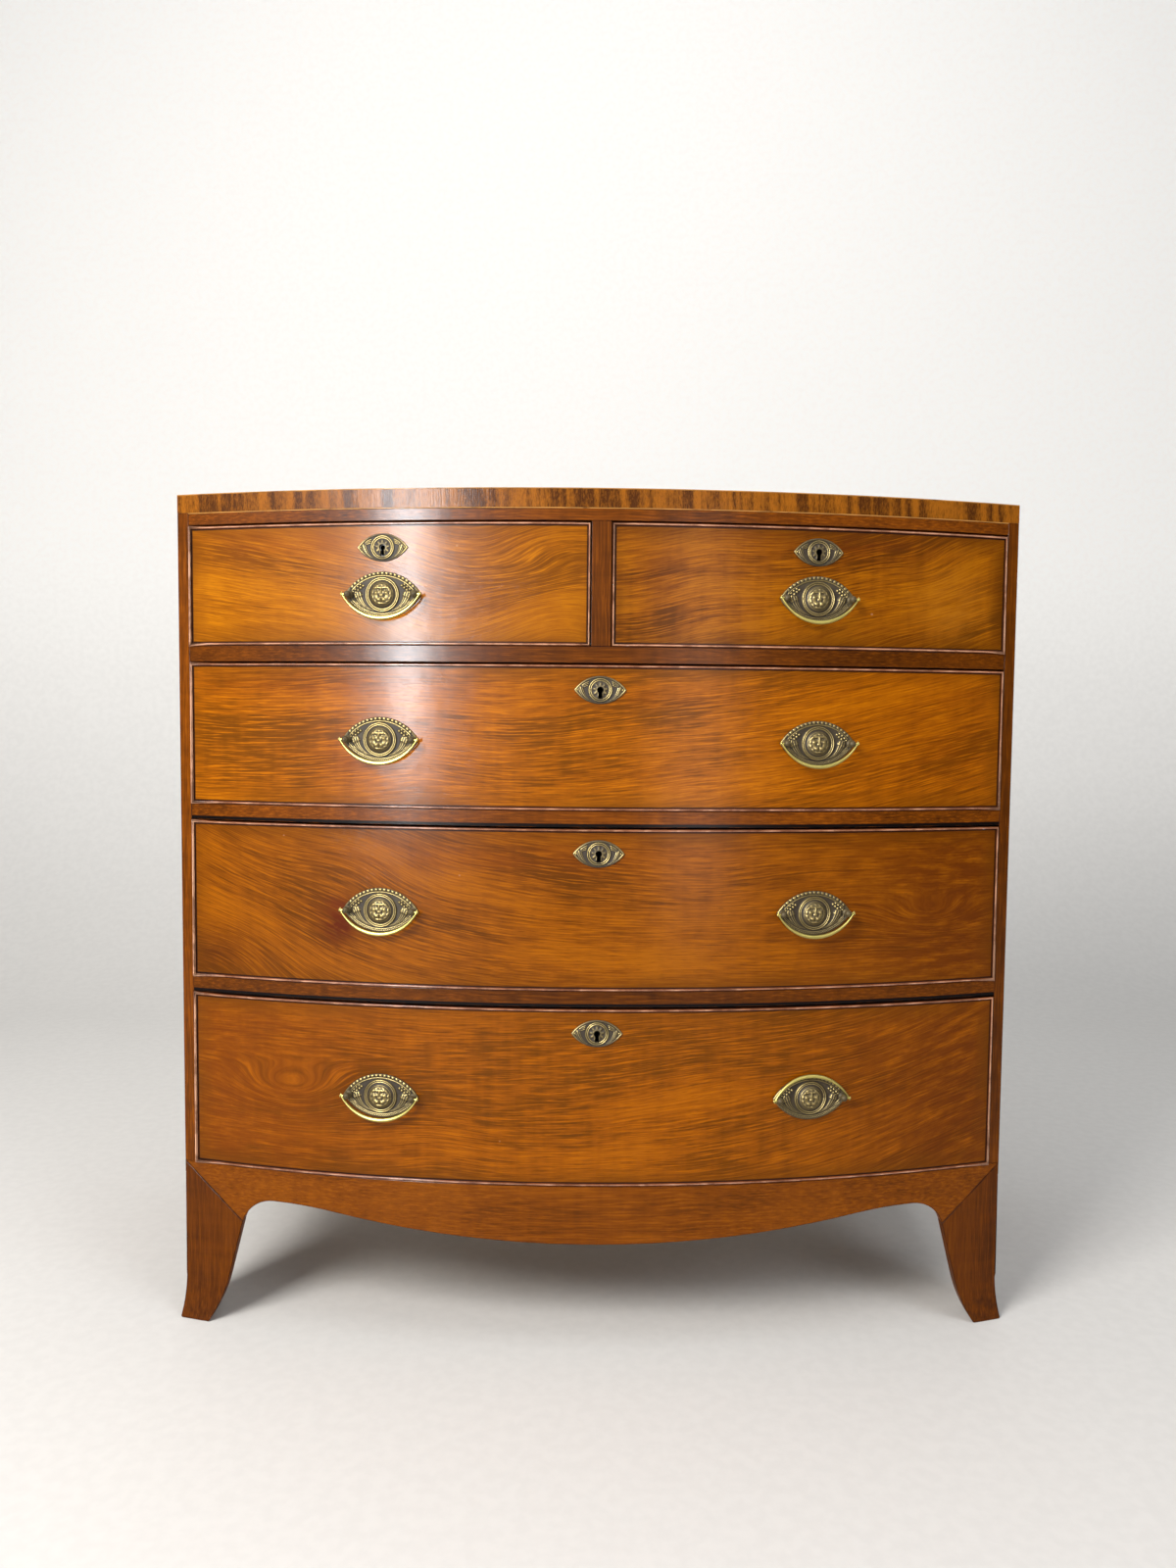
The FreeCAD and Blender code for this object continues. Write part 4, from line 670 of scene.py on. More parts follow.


# Figure of each drawer front. tones are light, middle and dark. bends push the grain: (x, z, reach x,
# reach z, push), with z from the middle of the front. The patches are (x, z, reach x, reach z, share, colour):
# stains, and at the right ends of the long drawers, where a patch reaches over the whole height, painted shade.
FIGURES = {
    "left_short": {
        "tones": ((0.46, 0.150, 0.0005), (0.345, 0.102, 0.0005), (0.185, 0.053, 0.0005)),
        "bends": (
            (-0.58, 0.0, 0.24, 1.0, -0.06),
            (-0.075, 0.012, 0.060, 0.028, 0.022),
            (-0.16, 0.02, 0.08, 0.10, 0.022),
            (-0.05, -0.03, 0.08, 0.12, -0.028),
            (-0.33, -0.03, 0.09, 0.05, -0.012),
            (-0.21, -0.05, 0.05, 0.04, 0.012),
        ),
        "stains_and_shade": (
            (-0.44, 0.055, 0.08, 0.022, 0.40, (0.20, 0.038, 0.001)),
            (-0.42, -0.055, 0.06, 0.012, 0.40, (0.16, 0.036, 0.001)),
            (-0.33, 0.055, 0.08, 0.020, 0.40, (0.24, 0.045, 0.002)),
            (-0.10, 0.06, 0.08, 0.020, 0.30, (0.22, 0.045, 0.001)),
            (-0.05, -0.05, 0.05, 0.030, 0.45, (0.26, 0.065, 0.001)),
            (-0.15, -0.02, 0.04, 0.030, 0.30, (0.28, 0.070, 0.001)),
        ),
        "mottle": 0.3,
        "seed": 3.1,
    },
    "right_short": {
        "tones": ((0.367, 0.114, 0.0005), (0.242, 0.0651, 0.0005), (0.101, 0.02835, 0.0005)),
        "bends": (
            (0.62, 0.0, 0.30, 1.0, -0.12),
            (0.13, 0.0, 0.07, 0.10, -0.014),
            (0.40, 0.03, 0.05, 0.03, 0.012),
            (0.30, -0.04, 0.10, 0.03, -0.010),
        ),
        "stains_and_shade": (
            (0.44, -0.02, 0.05, 0.05, 0.40, (0.50, 0.18, 0.012)),
            (0.36, -0.05, 0.05, 0.02, 0.35, (0.10, 0.018, 0.001)),
            (0.31, 0.055, 0.10, 0.020, 0.60, (0.12, 0.020, 0.001)),
            (0.07, 0.03, 0.03, 0.05, 0.35, (0.12, 0.022, 0.001)),
            (0.20, 0.06, 0.05, 0.015, 0.30, (0.15, 0.028, 0.001)),
        ),
        "mottle": 0.6,
        "seed": 11.7,
    },
    "upper_long": {
        "tones": ((0.481, 0.14, 0.0005), (0.332, 0.0882, 0.0005), (0.158, 0.0459, 0.0005)),
        "bends": (
            (0.62, 0.0, 0.32, 1.0, -0.10),
            (-0.10, 0.02, 0.12, 0.05, 0.010),
            (0.10, -0.03, 0.14, 0.05, -0.012),
            (-0.42, 0.0, 0.12, 0.06, 0.010),
            (-0.22, -0.04, 0.06, 0.03, -0.008),
        ),
        "stains_and_shade": (
            (-0.38, 0.062, 0.14, 0.016, 0.45, (0.17, 0.032, 0.001)),
            (-0.02, 0.050, 0.16, 0.012, 0.45, (0.15, 0.030, 0.001)),
            (0.05, -0.045, 0.10, 0.010, 0.30, (0.16, 0.034, 0.001)),
            (-0.31, -0.030, 0.035, 0.022, 0.35, (0.20, 0.030, 0.001)),
            # Painted shade: the right end darker over the whole height, where the light falls off.
            (0.44, 0.0, 0.16, 0.50, 0.35, (0.17, 0.030, 0.001)),
        ),
        "mottle": 0.35,
        "seed": 5.3,
    },
    "middle_long": {
        "tones": ((0.357, 0.102, 0.0005), (0.251, 0.0651, 0.0005), (0.122, 0.03375, 0.0005)),
        "bends": (
            (-0.66, 0.0, 0.30, 1.0, -0.17),
            (-0.30, 0.06, 0.09, 0.07, -0.030),
            (0.42, -0.010, 0.060, 0.022, 0.027),
            (0.10, 0.03, 0.16, 0.06, 0.014),
            (-0.46, -0.07, 0.08, 0.05, -0.024),
        ),
        "stains_and_shade": (
            (-0.321, -0.026, 0.022, 0.022, 1.3, (0.105, 0.014, 0.0005)),
            (-0.325, -0.002, 0.026, 0.014, 0.9, (0.14, 0.020, 0.001)),
            (-0.345, 0.050, 0.040, 0.030, 0.35, (0.15, 0.040, 0.002)),
            (-0.49, -0.075, 0.07, 0.03, 0.65, (0.08, 0.016, 0.001)),
            (0.42, 0.003, 0.045, 0.012, 0.45, (0.10, 0.016, 0.0005)),
            # Painted shade: the right end darker over the whole height, where the light falls off.
            (0.47, 0.0, 0.18, 0.50, 0.9, (0.115, 0.023, 0.0005)),
            (-0.06, 0.062, 0.20, 0.018, 0.40, (0.17, 0.032, 0.001)),
        ),
        "mottle": 0.3,
        "seed": 17.9,
    },
    "lower_long": {
        "tones": ((0.4, 0.11, 0.0005), (0.285, 0.07245, 0.0005), (0.14, 0.0405, 0.0005)),
        "bends": (
            (-0.385, -0.006, 0.085, 0.034, 0.046),
            (0.66, -0.02, 0.32, 1.0, -0.12),
            (-0.05, -0.04, 0.16, 0.05, 0.012),
            (0.16, 0.03, 0.12, 0.05, -0.014),
            (-0.20, -0.06, 0.07, 0.04, -0.010),
        ),
        "stains_and_shade": (
            (-0.385, 0.012, 0.060, 0.014, 0.25, (0.15, 0.034, 0.001)),
            # Painted shade: the right end darker over the whole height, where the light falls off.
            (0.48, 0.0, 0.18, 0.50, 0.85, (0.115, 0.023, 0.0005)),
            (0.36, 0.05, 0.07, 0.02, 0.30, (0.10, 0.020, 0.001)),
            (-0.48, 0.0, 0.20, 0.50, 0.75, (0.16, 0.032, 0.0005)),
        ),
        "mottle": 0.5,
        "seed": 29.3,
    },
}


def depth_in_front(w, x, y):
    """How far a place lies behind the face of the bow."""
    away = w.minus(y, FRONT_Y + bow_radius())
    reach = w.math("SQRT", w.math("ADD", w.times(x, x), w.times(away, away)))
    return w.minus(bow_radius(), reach)


def near_edges(w, x, z, node, inset, width):
    """1 at the edges of a drawer front, falling to 0 over the width."""
    low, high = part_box(node)
    share = None
    for given, near, far in ((x, low[0], high[0]), (z, low[2], high[2])):
        for edge in (
            w.span(given, near + inset, near + inset + width, 1.0, 0.0),
            w.span(given, far - inset - width, far - inset),
        ):
            share = w.math("MAXIMUM", share, edge) if share else edge
    return share


def drawer_veneer(drawer):
    """Figured mahogany laid on the bowed face, over the plain wood of the front."""
    figure = FIGURES[drawer]
    node = f"{drawer}_front"
    low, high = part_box(node)
    middle_z = (low[2] + high[2]) / 2
    material, w, shader, place = new_material(f"{drawer}_veneer")
    x, y, z = w.split(place)

    def spot(at_x, at_z, reach_x, reach_z, **others):
        middle = {"X": x, "Z": z, "Spot X": at_x, "Spot Z": middle_z + at_z}
        return w.group(bend_grain, {**middle, "Reach X": reach_x, "Reach Z": reach_z, **others}).outputs

    across = w.sway(w.noise(place, (3.0, 1.0, 5.0), detail=1), 0.02, z)
    for *spot_place, push in figure["bends"]:
        across = spot(*spot_place, Across=across, Push=push)["Across"]
    weights = {"Streaks": 0.7, "Pores": 0.45, "Mottle": figure["mottle"], "Clouds": 1.7, "Flecks": 2.7}
    wood = w.grain(w.join_xyz(x, across, figure["seed"]), figure["tones"], **weights)
    body = wood.outputs["Color"]

    ragged = w.noise(w.join_xyz(x, across, 0.0), (22.0, 90.0, 1.0), detail=4, roughness=0.7)
    # Stains, and at the right ends of the long drawers painted shade, over the grain.
    for *spot_place, share, patch_colour in figure["stains_and_shade"]:
        blotch = w.times(spot(*spot_place)["Share"], w.span(ragged, 0.30, 0.62, 0.25, 1.0))
        body = w.mix(w.times(blotch, share), body, patch_colour)

    uneven = w.span(w.noise(place, (9.0, 9.0, 14.0)), 0.3, 0.7, 0.25, 0.75)
    body = w.mix(w.times(near_edges(w, x, z, node, 0.002, 0.030), uneven), body, figure["tones"][2])
    # Painted shade, with some dirt: the veneer near black within about 4 mm of its edges, in the corner beside the
    # bead.
    body = w.mix(w.times(near_edges(w, x, z, node, 0.0038, 0.0018), 0.96), body, tint("dirt"))
    cells = {"Vector": w.vector("MULTIPLY", place, (18.0, 1.0, 22.0)), "Scale": 1.0}
    specks = w.add("ShaderNodeTexVoronoi", cells).outputs
    speck = w.times(w.span(specks["Distance"], 0.018, 0.040, 1.0, 0.0), 0.45)
    rare = w.math("GREATER_THAN", w.split(specks["Color"])[0], 0.86)
    body = w.mix(w.times(speck, rare), body, (0.52, 0.28, 0.13))

    cores = [tint("core", factor) for factor in (1.15, 0.9, 0.45)]
    core = w.grain(w.turned_place("xzy"), cores, Streaks=0.4, Pores=0.3, Mottle=0.1)
    body = w.mix(w.math("GREATER_THAN", depth_in_front(w, x, y), VENEER), body, core.outputs["Color"])
    # Painted shade: the wood round the keyhole near black, so that the keyhole reads dark through the plate's hole.
    key = keyhole_place(drawer).translation
    from_key = w.vector("DISTANCE", w.join_xyz(x, 0.0, z), (key.x, 0.0, key.z - 0.003))
    body = w.mix(w.math("LESS_THAN", from_key, KEYHOLE_SHADE_REACH), body, tint("dirt", 0.3))
    polish(w, shader, body, wood.outputs["Height"], wood.outputs["Fibre"], place)
    return material


def top_veneer():
    """Figured mahogany with a crossbanded border and a light string between them."""
    material, w, shader, place = new_material("top_veneer")
    x, y, z = w.split(place)
    border_tones = (tint("band_light"), tint("straight_mid"), tint("band_dark"))
    panel, front, side = [
        w.grain(w.turned_place(order, (2.3, 0.4, 0.9)), tones, Streaks=streaks)
        for tones, order, streaks in (
            (FIGURES["upper_long"]["tones"], "xyz", 0.6), (border_tones, "yxz", 0.9), (border_tones, "xyz", 0.9)
        )
    ]
    border = sizes().top_border
    from_front = depth_in_front(w, x, y)
    from_side = w.minus(HALF_WIDTH, w.math("ABSOLUTE", x))
    from_edge = w.math("MINIMUM", from_front, from_side)
    band = w.mix(w.math("LESS_THAN", from_side, from_front), front.outputs["Color"], side.outputs["Color"])
    body = w.mix(w.math("LESS_THAN", from_edge, border), panel.outputs["Color"], band)
    body = w.mix(w.math("COMPARE", from_edge, border, 0.0008), body, tint("boxwood"))
    edge = w.grain(w.turned_place("yzx"), plain_tones())
    body = w.mix(w.math("LESS_THAN", z, TOP_Z - 0.0012), body, edge.outputs["Color"])
    rings = w.noise(place, 3.0, detail=4, roughness=0.6)
    body = w.shade(body, w.span(rings, 0.3, 0.7, 0.82, 1.08))
    body = worn_colour(w, place, body, tint("band_light"))
    polish(w, shader, body, panel.outputs["Height"], panel.outputs["Fibre"], place)
    return material


def crossbanding():
    """Short blocks of mahogany with their grain upright, here light and there dark."""
    material, w, shader, place = new_material("crossbanding")
    x, _, z = w.split(place)
    lean = w.math("MULTIPLY_ADD", z, 0.06, x)
    blocks = w.noise(w.join_xyz(lean, 0.0, 0.0), 64.0, detail=2, roughness=0.55)
    spans = w.noise(w.join_xyz(lean, 3.0, 0.0), 9.0, detail=1)
    fibres = w.noise(place, (640.0, 640.0, 40.0), detail=3, roughness=0.65)
    speckle = w.noise(place, (900.0, 900.0, 210.0), detail=2, roughness=0.6)
    blot = w.noise(place, (90.0, 90.0, 55.0))
    share = w.span(w.sway(spans, 0.5, blocks), 0.38, 0.60)
    for noise, weight in ((fibres, 1.2), (speckle, 2.2), (blot, 1.2)):
        share = w.sway(noise, weight, share)
    body = w.mix(w.span(share, -0.1, 1.15, kind="LINEAR"), tint("band_dark"), tint("band_light"))
    arris = w.span(z, TOP_Z - 0.0016, TOP_Z - 0.0004, 0.0, 0.75)
    body = w.mix(w.times(arris, w.span(fibres, 0.35, 0.6, 0.5, 1.0)), body, tint("boxwood"))
    body = worn_colour(w, place, body, tint("band_light"))
    polish(w, shader, body, fibres, fibres, place)
    return material


def string_wood():
    """Boxwood string, yellowed, with dark wax in its joints."""
    material, w, shader, place = new_material("boxwood_string")
    grain = w.noise(place, (40.0, 40.0, 900.0))
    gaps = w.noise(place, (30.0, 30.0, 30.0), detail=3, roughness=0.7)
    body = w.shade(tint("boxwood"), w.span(grain, 0.3, 0.7, 0.8, 1.15))
    body = w.mix(w.times(w.span(gaps, 0.52, 0.72), 0.7), body, tint("straight_mid"))
    polish(w, shader, body, grain, grain, place)
    return material


def bead_wood():
    """Cock beading: red-brown. Its nose is light, from rubbed wear and a painted highlight that is stronger on the
    level beads than on the upright ones. Down its sides, painted shade with dark wax.
    """
    material, w, shader, place = new_material("cock_bead")
    x, y, _ = w.split(place)
    grain = w.noise(place, (30.0, 30.0, 30.0), detail=4, roughness=0.7)
    proud = w.times(depth_in_front(w, x, y), -1.0)
    body = w.shade(tint("bead"), w.span(grain, 0.3, 0.7, 0.65, 1.3))
    # Painted shade, with dark wax: the bead near black where it meets the wood round it.
    body = w.mix(w.span(proud, 0.0002, 0.0010, 0.95, 0.0), body, tint("dirt"))
    # Painted highlight, with rubbed wear, on the most proud part of the nose; the upright beads get a tenth of it, as
    # if lit from above.
    nose_wear_and_highlight = w.times(w.span(proud, 0.00155, 0.0019), w.span(grain, 0.40, 0.58, 0.4, 1.0))
    nose_wear_and_highlight = w.times(nose_wear_and_highlight, w.span(w.attribute("upright"), 0.0, 1.0, 1.0, 0.1))
    body = w.mix(nose_wear_and_highlight, body, BEAD_NOSE_WEAR_AND_HIGHLIGHT)
    polish(w, shader, body, grain, grain, place, (0.3, 0.45), 0.35)
    return material


def dry_wood(name, order, tone, offset, age):
    """Unpolished oak or pine: clear grain, dusty, darker with age in patches. Each board has its own grain."""
    material, w, shader, place = new_material(name)
    number = w.attribute("board")
    own = w.join_xyz(w.times(number, 0.37), w.times(number, 0.53), number)
    board = w.vector("ADD", w.turned_place(order, offset), own)
    tones = [scaled(tone, factor) for factor in (1.2, 0.85, 0.5)]
    wood = w.grain(board, tones, Streaks=0.7, Pores=0.5, Mottle=0.15)
    patches = w.noise(place, 8.0, detail=5, roughness=0.7)
    body = w.shade(wood.outputs["Color"], w.span(patches, 0.3, 0.7, 1.0 - age, 1.05))
    body = w.mix(w.times(w.attribute("worn"), 0.4), body, scaled(tone, 0.4))
    roughness = w.span(patches, 0.3, 0.7, 0.62, 0.85)
    w.feed(shader, {"Base Color": body, "Roughness": roughness, "Specular IOR Level": 0.25})
    saw_marks = w.noise(board, (260.0, 12.0, 12.0), detail=1)
    bump(w, shader, w.math("ADD", wood.outputs["Height"], w.times(saw_marks, 0.5)), 0.0003)
    return material


# ---------------------------------------------------------------------------------- metals


def aged_brass(name, bright, dark, patina_from, patina_to, bare=1.0):
    """Brass, dark in the recesses and rubbed bright on what stands proud. bare is the metal in the recesses."""
    material, w, shader, place = new_material(name)
    tarnish = w.noise(place, 160.0, detail=4, roughness=0.7)
    share = w.span(w.sway(tarnish, 0.4, w.attribute("proud")), patina_from, patina_to)
    cloudy = w.span(w.noise(place, 45.0), 0.45, 0.75, 0.0, 0.35)
    body = w.mix(cloudy, w.mix(share, dark, bright), scaled(bright, 0.5))
    metallic = w.span(share, 0.1, 0.8, bare, 1.0)
    roughness = w.sway(tarnish, 0.2, w.math("MULTIPLY_ADD", share, -0.2, 0.6))
    w.feed(shader, {"Base Color": body, "Metallic": metallic, "Roughness": roughness, "Specular IOR Level": 0.2})
    low = w.times(w.minus(1.0, share), w.noise(place, 1500.0, detail=1))
    bump(w, shader, w.math("ADD", low, w.times(tarnish, 0.3)), 0.0002)
    return material


def dark_iron(name):
    """Hand made iron, rusted in spots."""
    material, w, shader, place = new_material(name)
    rust = w.noise(place, 210.0, detail=5, roughness=0.7)
    body = w.mix(w.span(rust, 0.45, 0.7), tint("iron"), (0.17, 0.07, 0.03))
    w.feed(shader, {"Base Color": body, "Roughness": w.span(rust, 0.3, 0.7, 0.45, 0.75), "Metallic": 0.75})
    bump(w, shader, rust, 0.0002)
    return material


def old_wax(name):
    """Painted shade: dull near-black with crumbs of dust, for the lock's face that shows inside a keyhole."""
    material, w, shader, place = new_material(name)
    crumbs = w.noise(place, 400.0, detail=3)
    body = w.shade(tint("dirt"), w.span(crumbs, 0.3, 0.7, 0.2, 0.6))
    w.feed(shader, {"Base Color": body, "Roughness": 0.9, "Specular IOR Level": 0.1})
    bump(w, shader, crumbs, 0.0002)
    return material


FINISHES = {
    "stamped_brass": lambda name: aged_brass(name, tint("brass"), tint("patina"), 0.1, 1.1, bare=0.0),
    "held_brass": lambda name: aged_brass(name, tint("bail"), tint("bail", 0.28), -0.3, 0.7),
    "dull_brass": lambda name: aged_brass(name, tint("brass"), tint("brass", 0.3), 0.2, 0.8),
    "dark_iron": dark_iron,
    "old_wax": old_wax,
}


def finish(name):
    """One of the shared finishes, built on its first use."""
    return bpy.data.materials.get(name) or FINISHES[name](name)


# ---------------------------------------------------------------------------------- stamped plates


MM = 0.001
PLATE_SEAT = 0.1  # in millimetres: how far a plate's back stands off the wood
BERRIES = (  # beside the boss, in millimetres: across, up and radius
    (24.2, 10.6, 1.7), (27.6, 12.0, 1.6), (27.2, 8.0, 1.8), (31.0, 9.6, 1.7),
    (30.4, 5.4, 1.8), (34.2, 6.4, 1.6), (33.4, 2.6, 1.5), (36.6, 3.6, 1.2),
)
MASK = (  # a lion's face, in millimetres: height, across, up, and how wide and high it spreads
    (1.5, 4.6, 8.0, 3.2, 1.2),  # brows
    (-2.0, 4.3, 5.2, 2.6, 1.7),  # eye sockets
    (0.9, 4.3, 5.0, 0.9, 0.6),  # eyes
    (1.9, 0, 4.0, 0.9, 4.6),  # nose
    (1.6, 1.2, -1.2, 1.5, 1.2),  # nostrils
    (2.1, 6.6, 1.6, 2.2, 1.9),  # cheeks
    (-1.4, 3.6, -2.2, 1.2, 2.2),  # folds beside the nose
    (2.3, 3.4, -6.2, 2.5, 2.2),  # muzzle
    (-1.5, 0, -7.0, 0.6, 2.6),  # cleft of the lip
    (-1.2, 0, -9.2, 3.4, 0.6),  # mouth
    (1.4, 0, -10.6, 2.2, 1.0),  # chin
    (1.2, 8.3, 7.6, 1.5, 1.6),  # ears
)


def swell(given, at, wide):
    """A soft swelling, 1 at its middle."""
    return np.exp(-(((given - at) / wide) ** 2))


def ridge(distance, middle, half):
    """A rounded ridge across a distance, 1 on its crest and 0 beyond its half width."""
    return np.sqrt(np.clip(1 - ((distance - middle) / half) ** 2, 0, 1))


def step(given, low, high):
    """0 below low, 1 above high and smooth between them."""
    share = np.clip((given - low) / (high - low), 0, 1)
    return share * share * (3 - 2 * share)


def eye_edge(x, z, half_width, half_height):
    """How far a point lies inside the outline of an eye, and its place along the upper or lower arc."""
    radius = (half_width**2 + half_height**2) / (2 * half_height)
    centre = radius - half_height
    return radius - np.hypot(x, np.abs(z) + centre), np.arctan2(x, np.abs(z) + centre) * radius


def eye_outline(half_width, half_height, count):
    """Points round the outline of an eye, evenly spaced."""
    radius = (half_width**2 + half_height**2) / (2 * half_height)
    reach = math.asin(half_width / radius)
    angles = np.linspace(reach, -reach, count // 2, endpoint=False)
    upper = np.stack([radius * np.sin(angles), radius * np.cos(angles) - (radius - half_height)], 1)
    return np.concatenate([upper, -upper])


def along_horn(x, z, bends):
    """Nearest place on a curved line through three points: its share, the distance to it and the side."""
    shares = np.linspace(0, 1, 40)[:, None]
    first, middle, last = (np.array(point) for point in bends)
    line = (1 - shares) ** 2 * first + 2 * shares * (1 - shares) * middle + shares**2 * last
    away = np.hypot(x[..., None] - line[:, 0], z[..., None] - line[:, 1])
    nearest = away.argmin(-1)
    heading = np.gradient(line, axis=0)
    heading /= np.linalg.norm(heading, axis=1)[:, None]
    side = (x - line[nearest, 0]) * heading[nearest, 1] - (z - line[nearest, 1]) * heading[nearest, 0]
    return shares[nearest, 0], away.min(-1), side


def lion_mask(x, z):
    """Relief of a lion's head in its mane, in millimetres over the dome."""
    out = np.hypot(x, z)
    mane = swell(out, 11.2, 1.5) * (0.8 + 0.5 * np.cos(13 * np.arctan2(x, z) + 0.5 * out))
    face = 0.8 * (1 - step(out, 8.0, 10.5))
    for height, across, up, wide, high in MASK:
        face += height * np.exp(-(((np.abs(x) - across) / wide) ** 2) - ((z - up) / high) ** 2)
    return 0.6 * (mane + face)


def horn_relief(x, z, ground):
    """A fluted horn of plenty on each side of the boss, with its berries."""
    x = np.abs(x)
    share, away, side = along_horn(x, z, ((11.5, -18.6), (25.5, -16.5), (30.5, -0.5)))
    half = 0.9 + 3.9 * share**1.3
    body = ridge(away, 0, half) * (0.7 + 1.1 * share) * (0.80 + 0.20 * np.cos(side / half * 9.0))
    lip = swell(share, 0.96, 0.05) * (away < half * 1.15) * 0.8
    leaf_share, leaf_away, _ = along_horn(x, z, ((21.5, -14.5), (35.5, -11.0), (38.5, -2.5)))
    leaf = ridge(leaf_away, 0, 1.5 * np.sin(np.pi * np.clip(leaf_share, 0.04, 0.96))) * 0.7
    relief = np.maximum(body + lip, leaf)
    for at_x, at_z, radius in BERRIES:
        reach = np.hypot(x - at_x, z - at_z)
        relief = np.maximum(relief, np.sqrt(np.clip(radius**2 - reach**2, 0, None)) * 1.05)
    return ground + relief


def backplate_relief(x, z):
    """Height of a backplate over its seat, at places in millimetres from its middle."""
    given = sizes()
    edge, along = eye_edge(x, z, given.plate_half_width / MM, given.plate_half_height / MM)
    ground = given.plate_sheet / MM
    lobe = np.abs(np.cos(np.pi * along / (2 * along.max() / given.teeth)))
    teeth = ground + 1.5 * ridge(edge, 1.9, 1.9) * lobe**0.7
    upper_rim = np.maximum(teeth, ground + 1.0 * ridge(edge, 4.9, 0.9))
    twist = 0.5 + 0.5 * np.cos(2 * np.pi * (along / (2 * along.max() / given.strands) + edge / 2.6))
    rope = ground + 1.15 * ridge(edge, 2.2, 1.5) * (0.45 + 0.55 * twist)
    lower_rim = np.maximum(rope, ground + 0.7 * ridge(edge, 4.5, 0.6))
    lower_rim = np.maximum(lower_rim, ground + 0.5 * ridge(edge, 0.4, 0.5))
    height = np.where(edge < 5.9, np.where(z > 0, upper_rim, lower_rim), horn_relief(x, z, ground))
    tips = step(np.abs(x), 37.0, 40.0)
    height = height * (1 - tips) + tips * (ground + 0.8 * ridge(edge, 1.6, 1.6))

    out = np.hypot(x, z)
    disc = ground + 1.5 * (1 - step(out, 20.4, 21.2))
    disc += 1.1 * ridge(out, 19.9, 0.9) + 0.9 * ridge(out, 17.7, 0.8)
    disc += 1.7 * (1 - step(out, 13.4, 17.0))
    disc += ridge(out, 0, 14.3) * 2.3 + lion_mask(x, z) * (1 - step(out, 11.6, 13.0))
    disc -= 0.35 * swell(out, 13.4, 0.6)
    height = np.where(out < 21.2, disc, height)
    return np.maximum(height - 0.35 * (1 - step(edge, 0.0, 0.5)), 0.4)


def cover_relief(x, z):
    """Height of a keyhole plate over its seat, at places in millimetres from its keyhole."""
    given = sizes()
    edge, _ = eye_edge(x, z, given.cover_half_width / MM, given.cover_half_height / MM)
    side = np.abs(x)
    share, away, across = along_horn(side, z, ((12.0, -12.2), (20.0, -9.8), (23.6, 1.4)))
    half = 0.8 + 2.5 * share
    relief = ridge(away, 0, half) * (0.6 + 0.8 * share)
    relief *= 0.82 + 0.18 * np.cos(across / half * 8)
    for number in range(3):
        drop = 2.1 * number
        leaf = ((14.4 + 0.4 * number, 9.6 - drop), (18.0, 8.6 - drop), (21.6, 5.6 - 0.6 * drop))
        _, away, _ = along_horn(side, z, leaf)
        relief = np.maximum(relief, 0.8 * ridge(away, 0, 0.75))
    height = 0.55 + 0.9 * ridge(edge, 1.2, 1.0) + np.where(edge > 2.4, relief, 0)
    out = np.hypot(x, z)
    leaves = swell(out, 7.6, 1.8) * np.cos(9 * np.arctan2(x, z))
    disc = 1.5 + 1.0 * ridge(out, 13.5, 0.8) + 0.8 * ridge(out, 11.3, 0.7) + 0.9 * (1 - step(out, 4.0, 10.6))
    height = np.where(out < 14.3, disc + 0.4 * leaves, height)
    pins = np.hypot(side - given.cover_pin_spread / MM, z)
    height = np.where(pins < 1.6, 0.75, height)
    return np.maximum(height - 0.3 * (1 - step(edge, 0.0, 0.4)), 0.3)


def keyhole_outline(count):
    """Points round a keyhole, a quarter of them each to its top, left, foot and right, from the right."""
    given = sizes()
    eye, half, drop = given.key_eye / MM, given.key_slot / MM / 2, given.key_drop / MM
    quarter = count // 4
    turns = np.linspace(0, math.pi, 2 * quarter, endpoint=False)
    over = np.stack([eye * np.cos(turns), eye * np.sin(turns)], 1)
    under = np.linspace(math.pi, math.pi + math.acos(half / eye), 8)
    side = np.stack([eye * np.cos(under), eye * np.sin(under)], 1)
    side = np.concatenate([side, [[-1.12 * half, -drop], [0, -drop]]])
    lengths = np.concatenate([[0], np.cumsum(np.linalg.norm(np.diff(side, axis=0), axis=1))])
    marks = np.linspace(0, lengths[-1], quarter + 1)
    left = np.stack([np.interp(marks, lengths, side[:, axis]) for axis in (0, 1)], 1)
    return np.concatenate([over, left[:-1], (left[::-1] * (-1, 1))[:-1]])


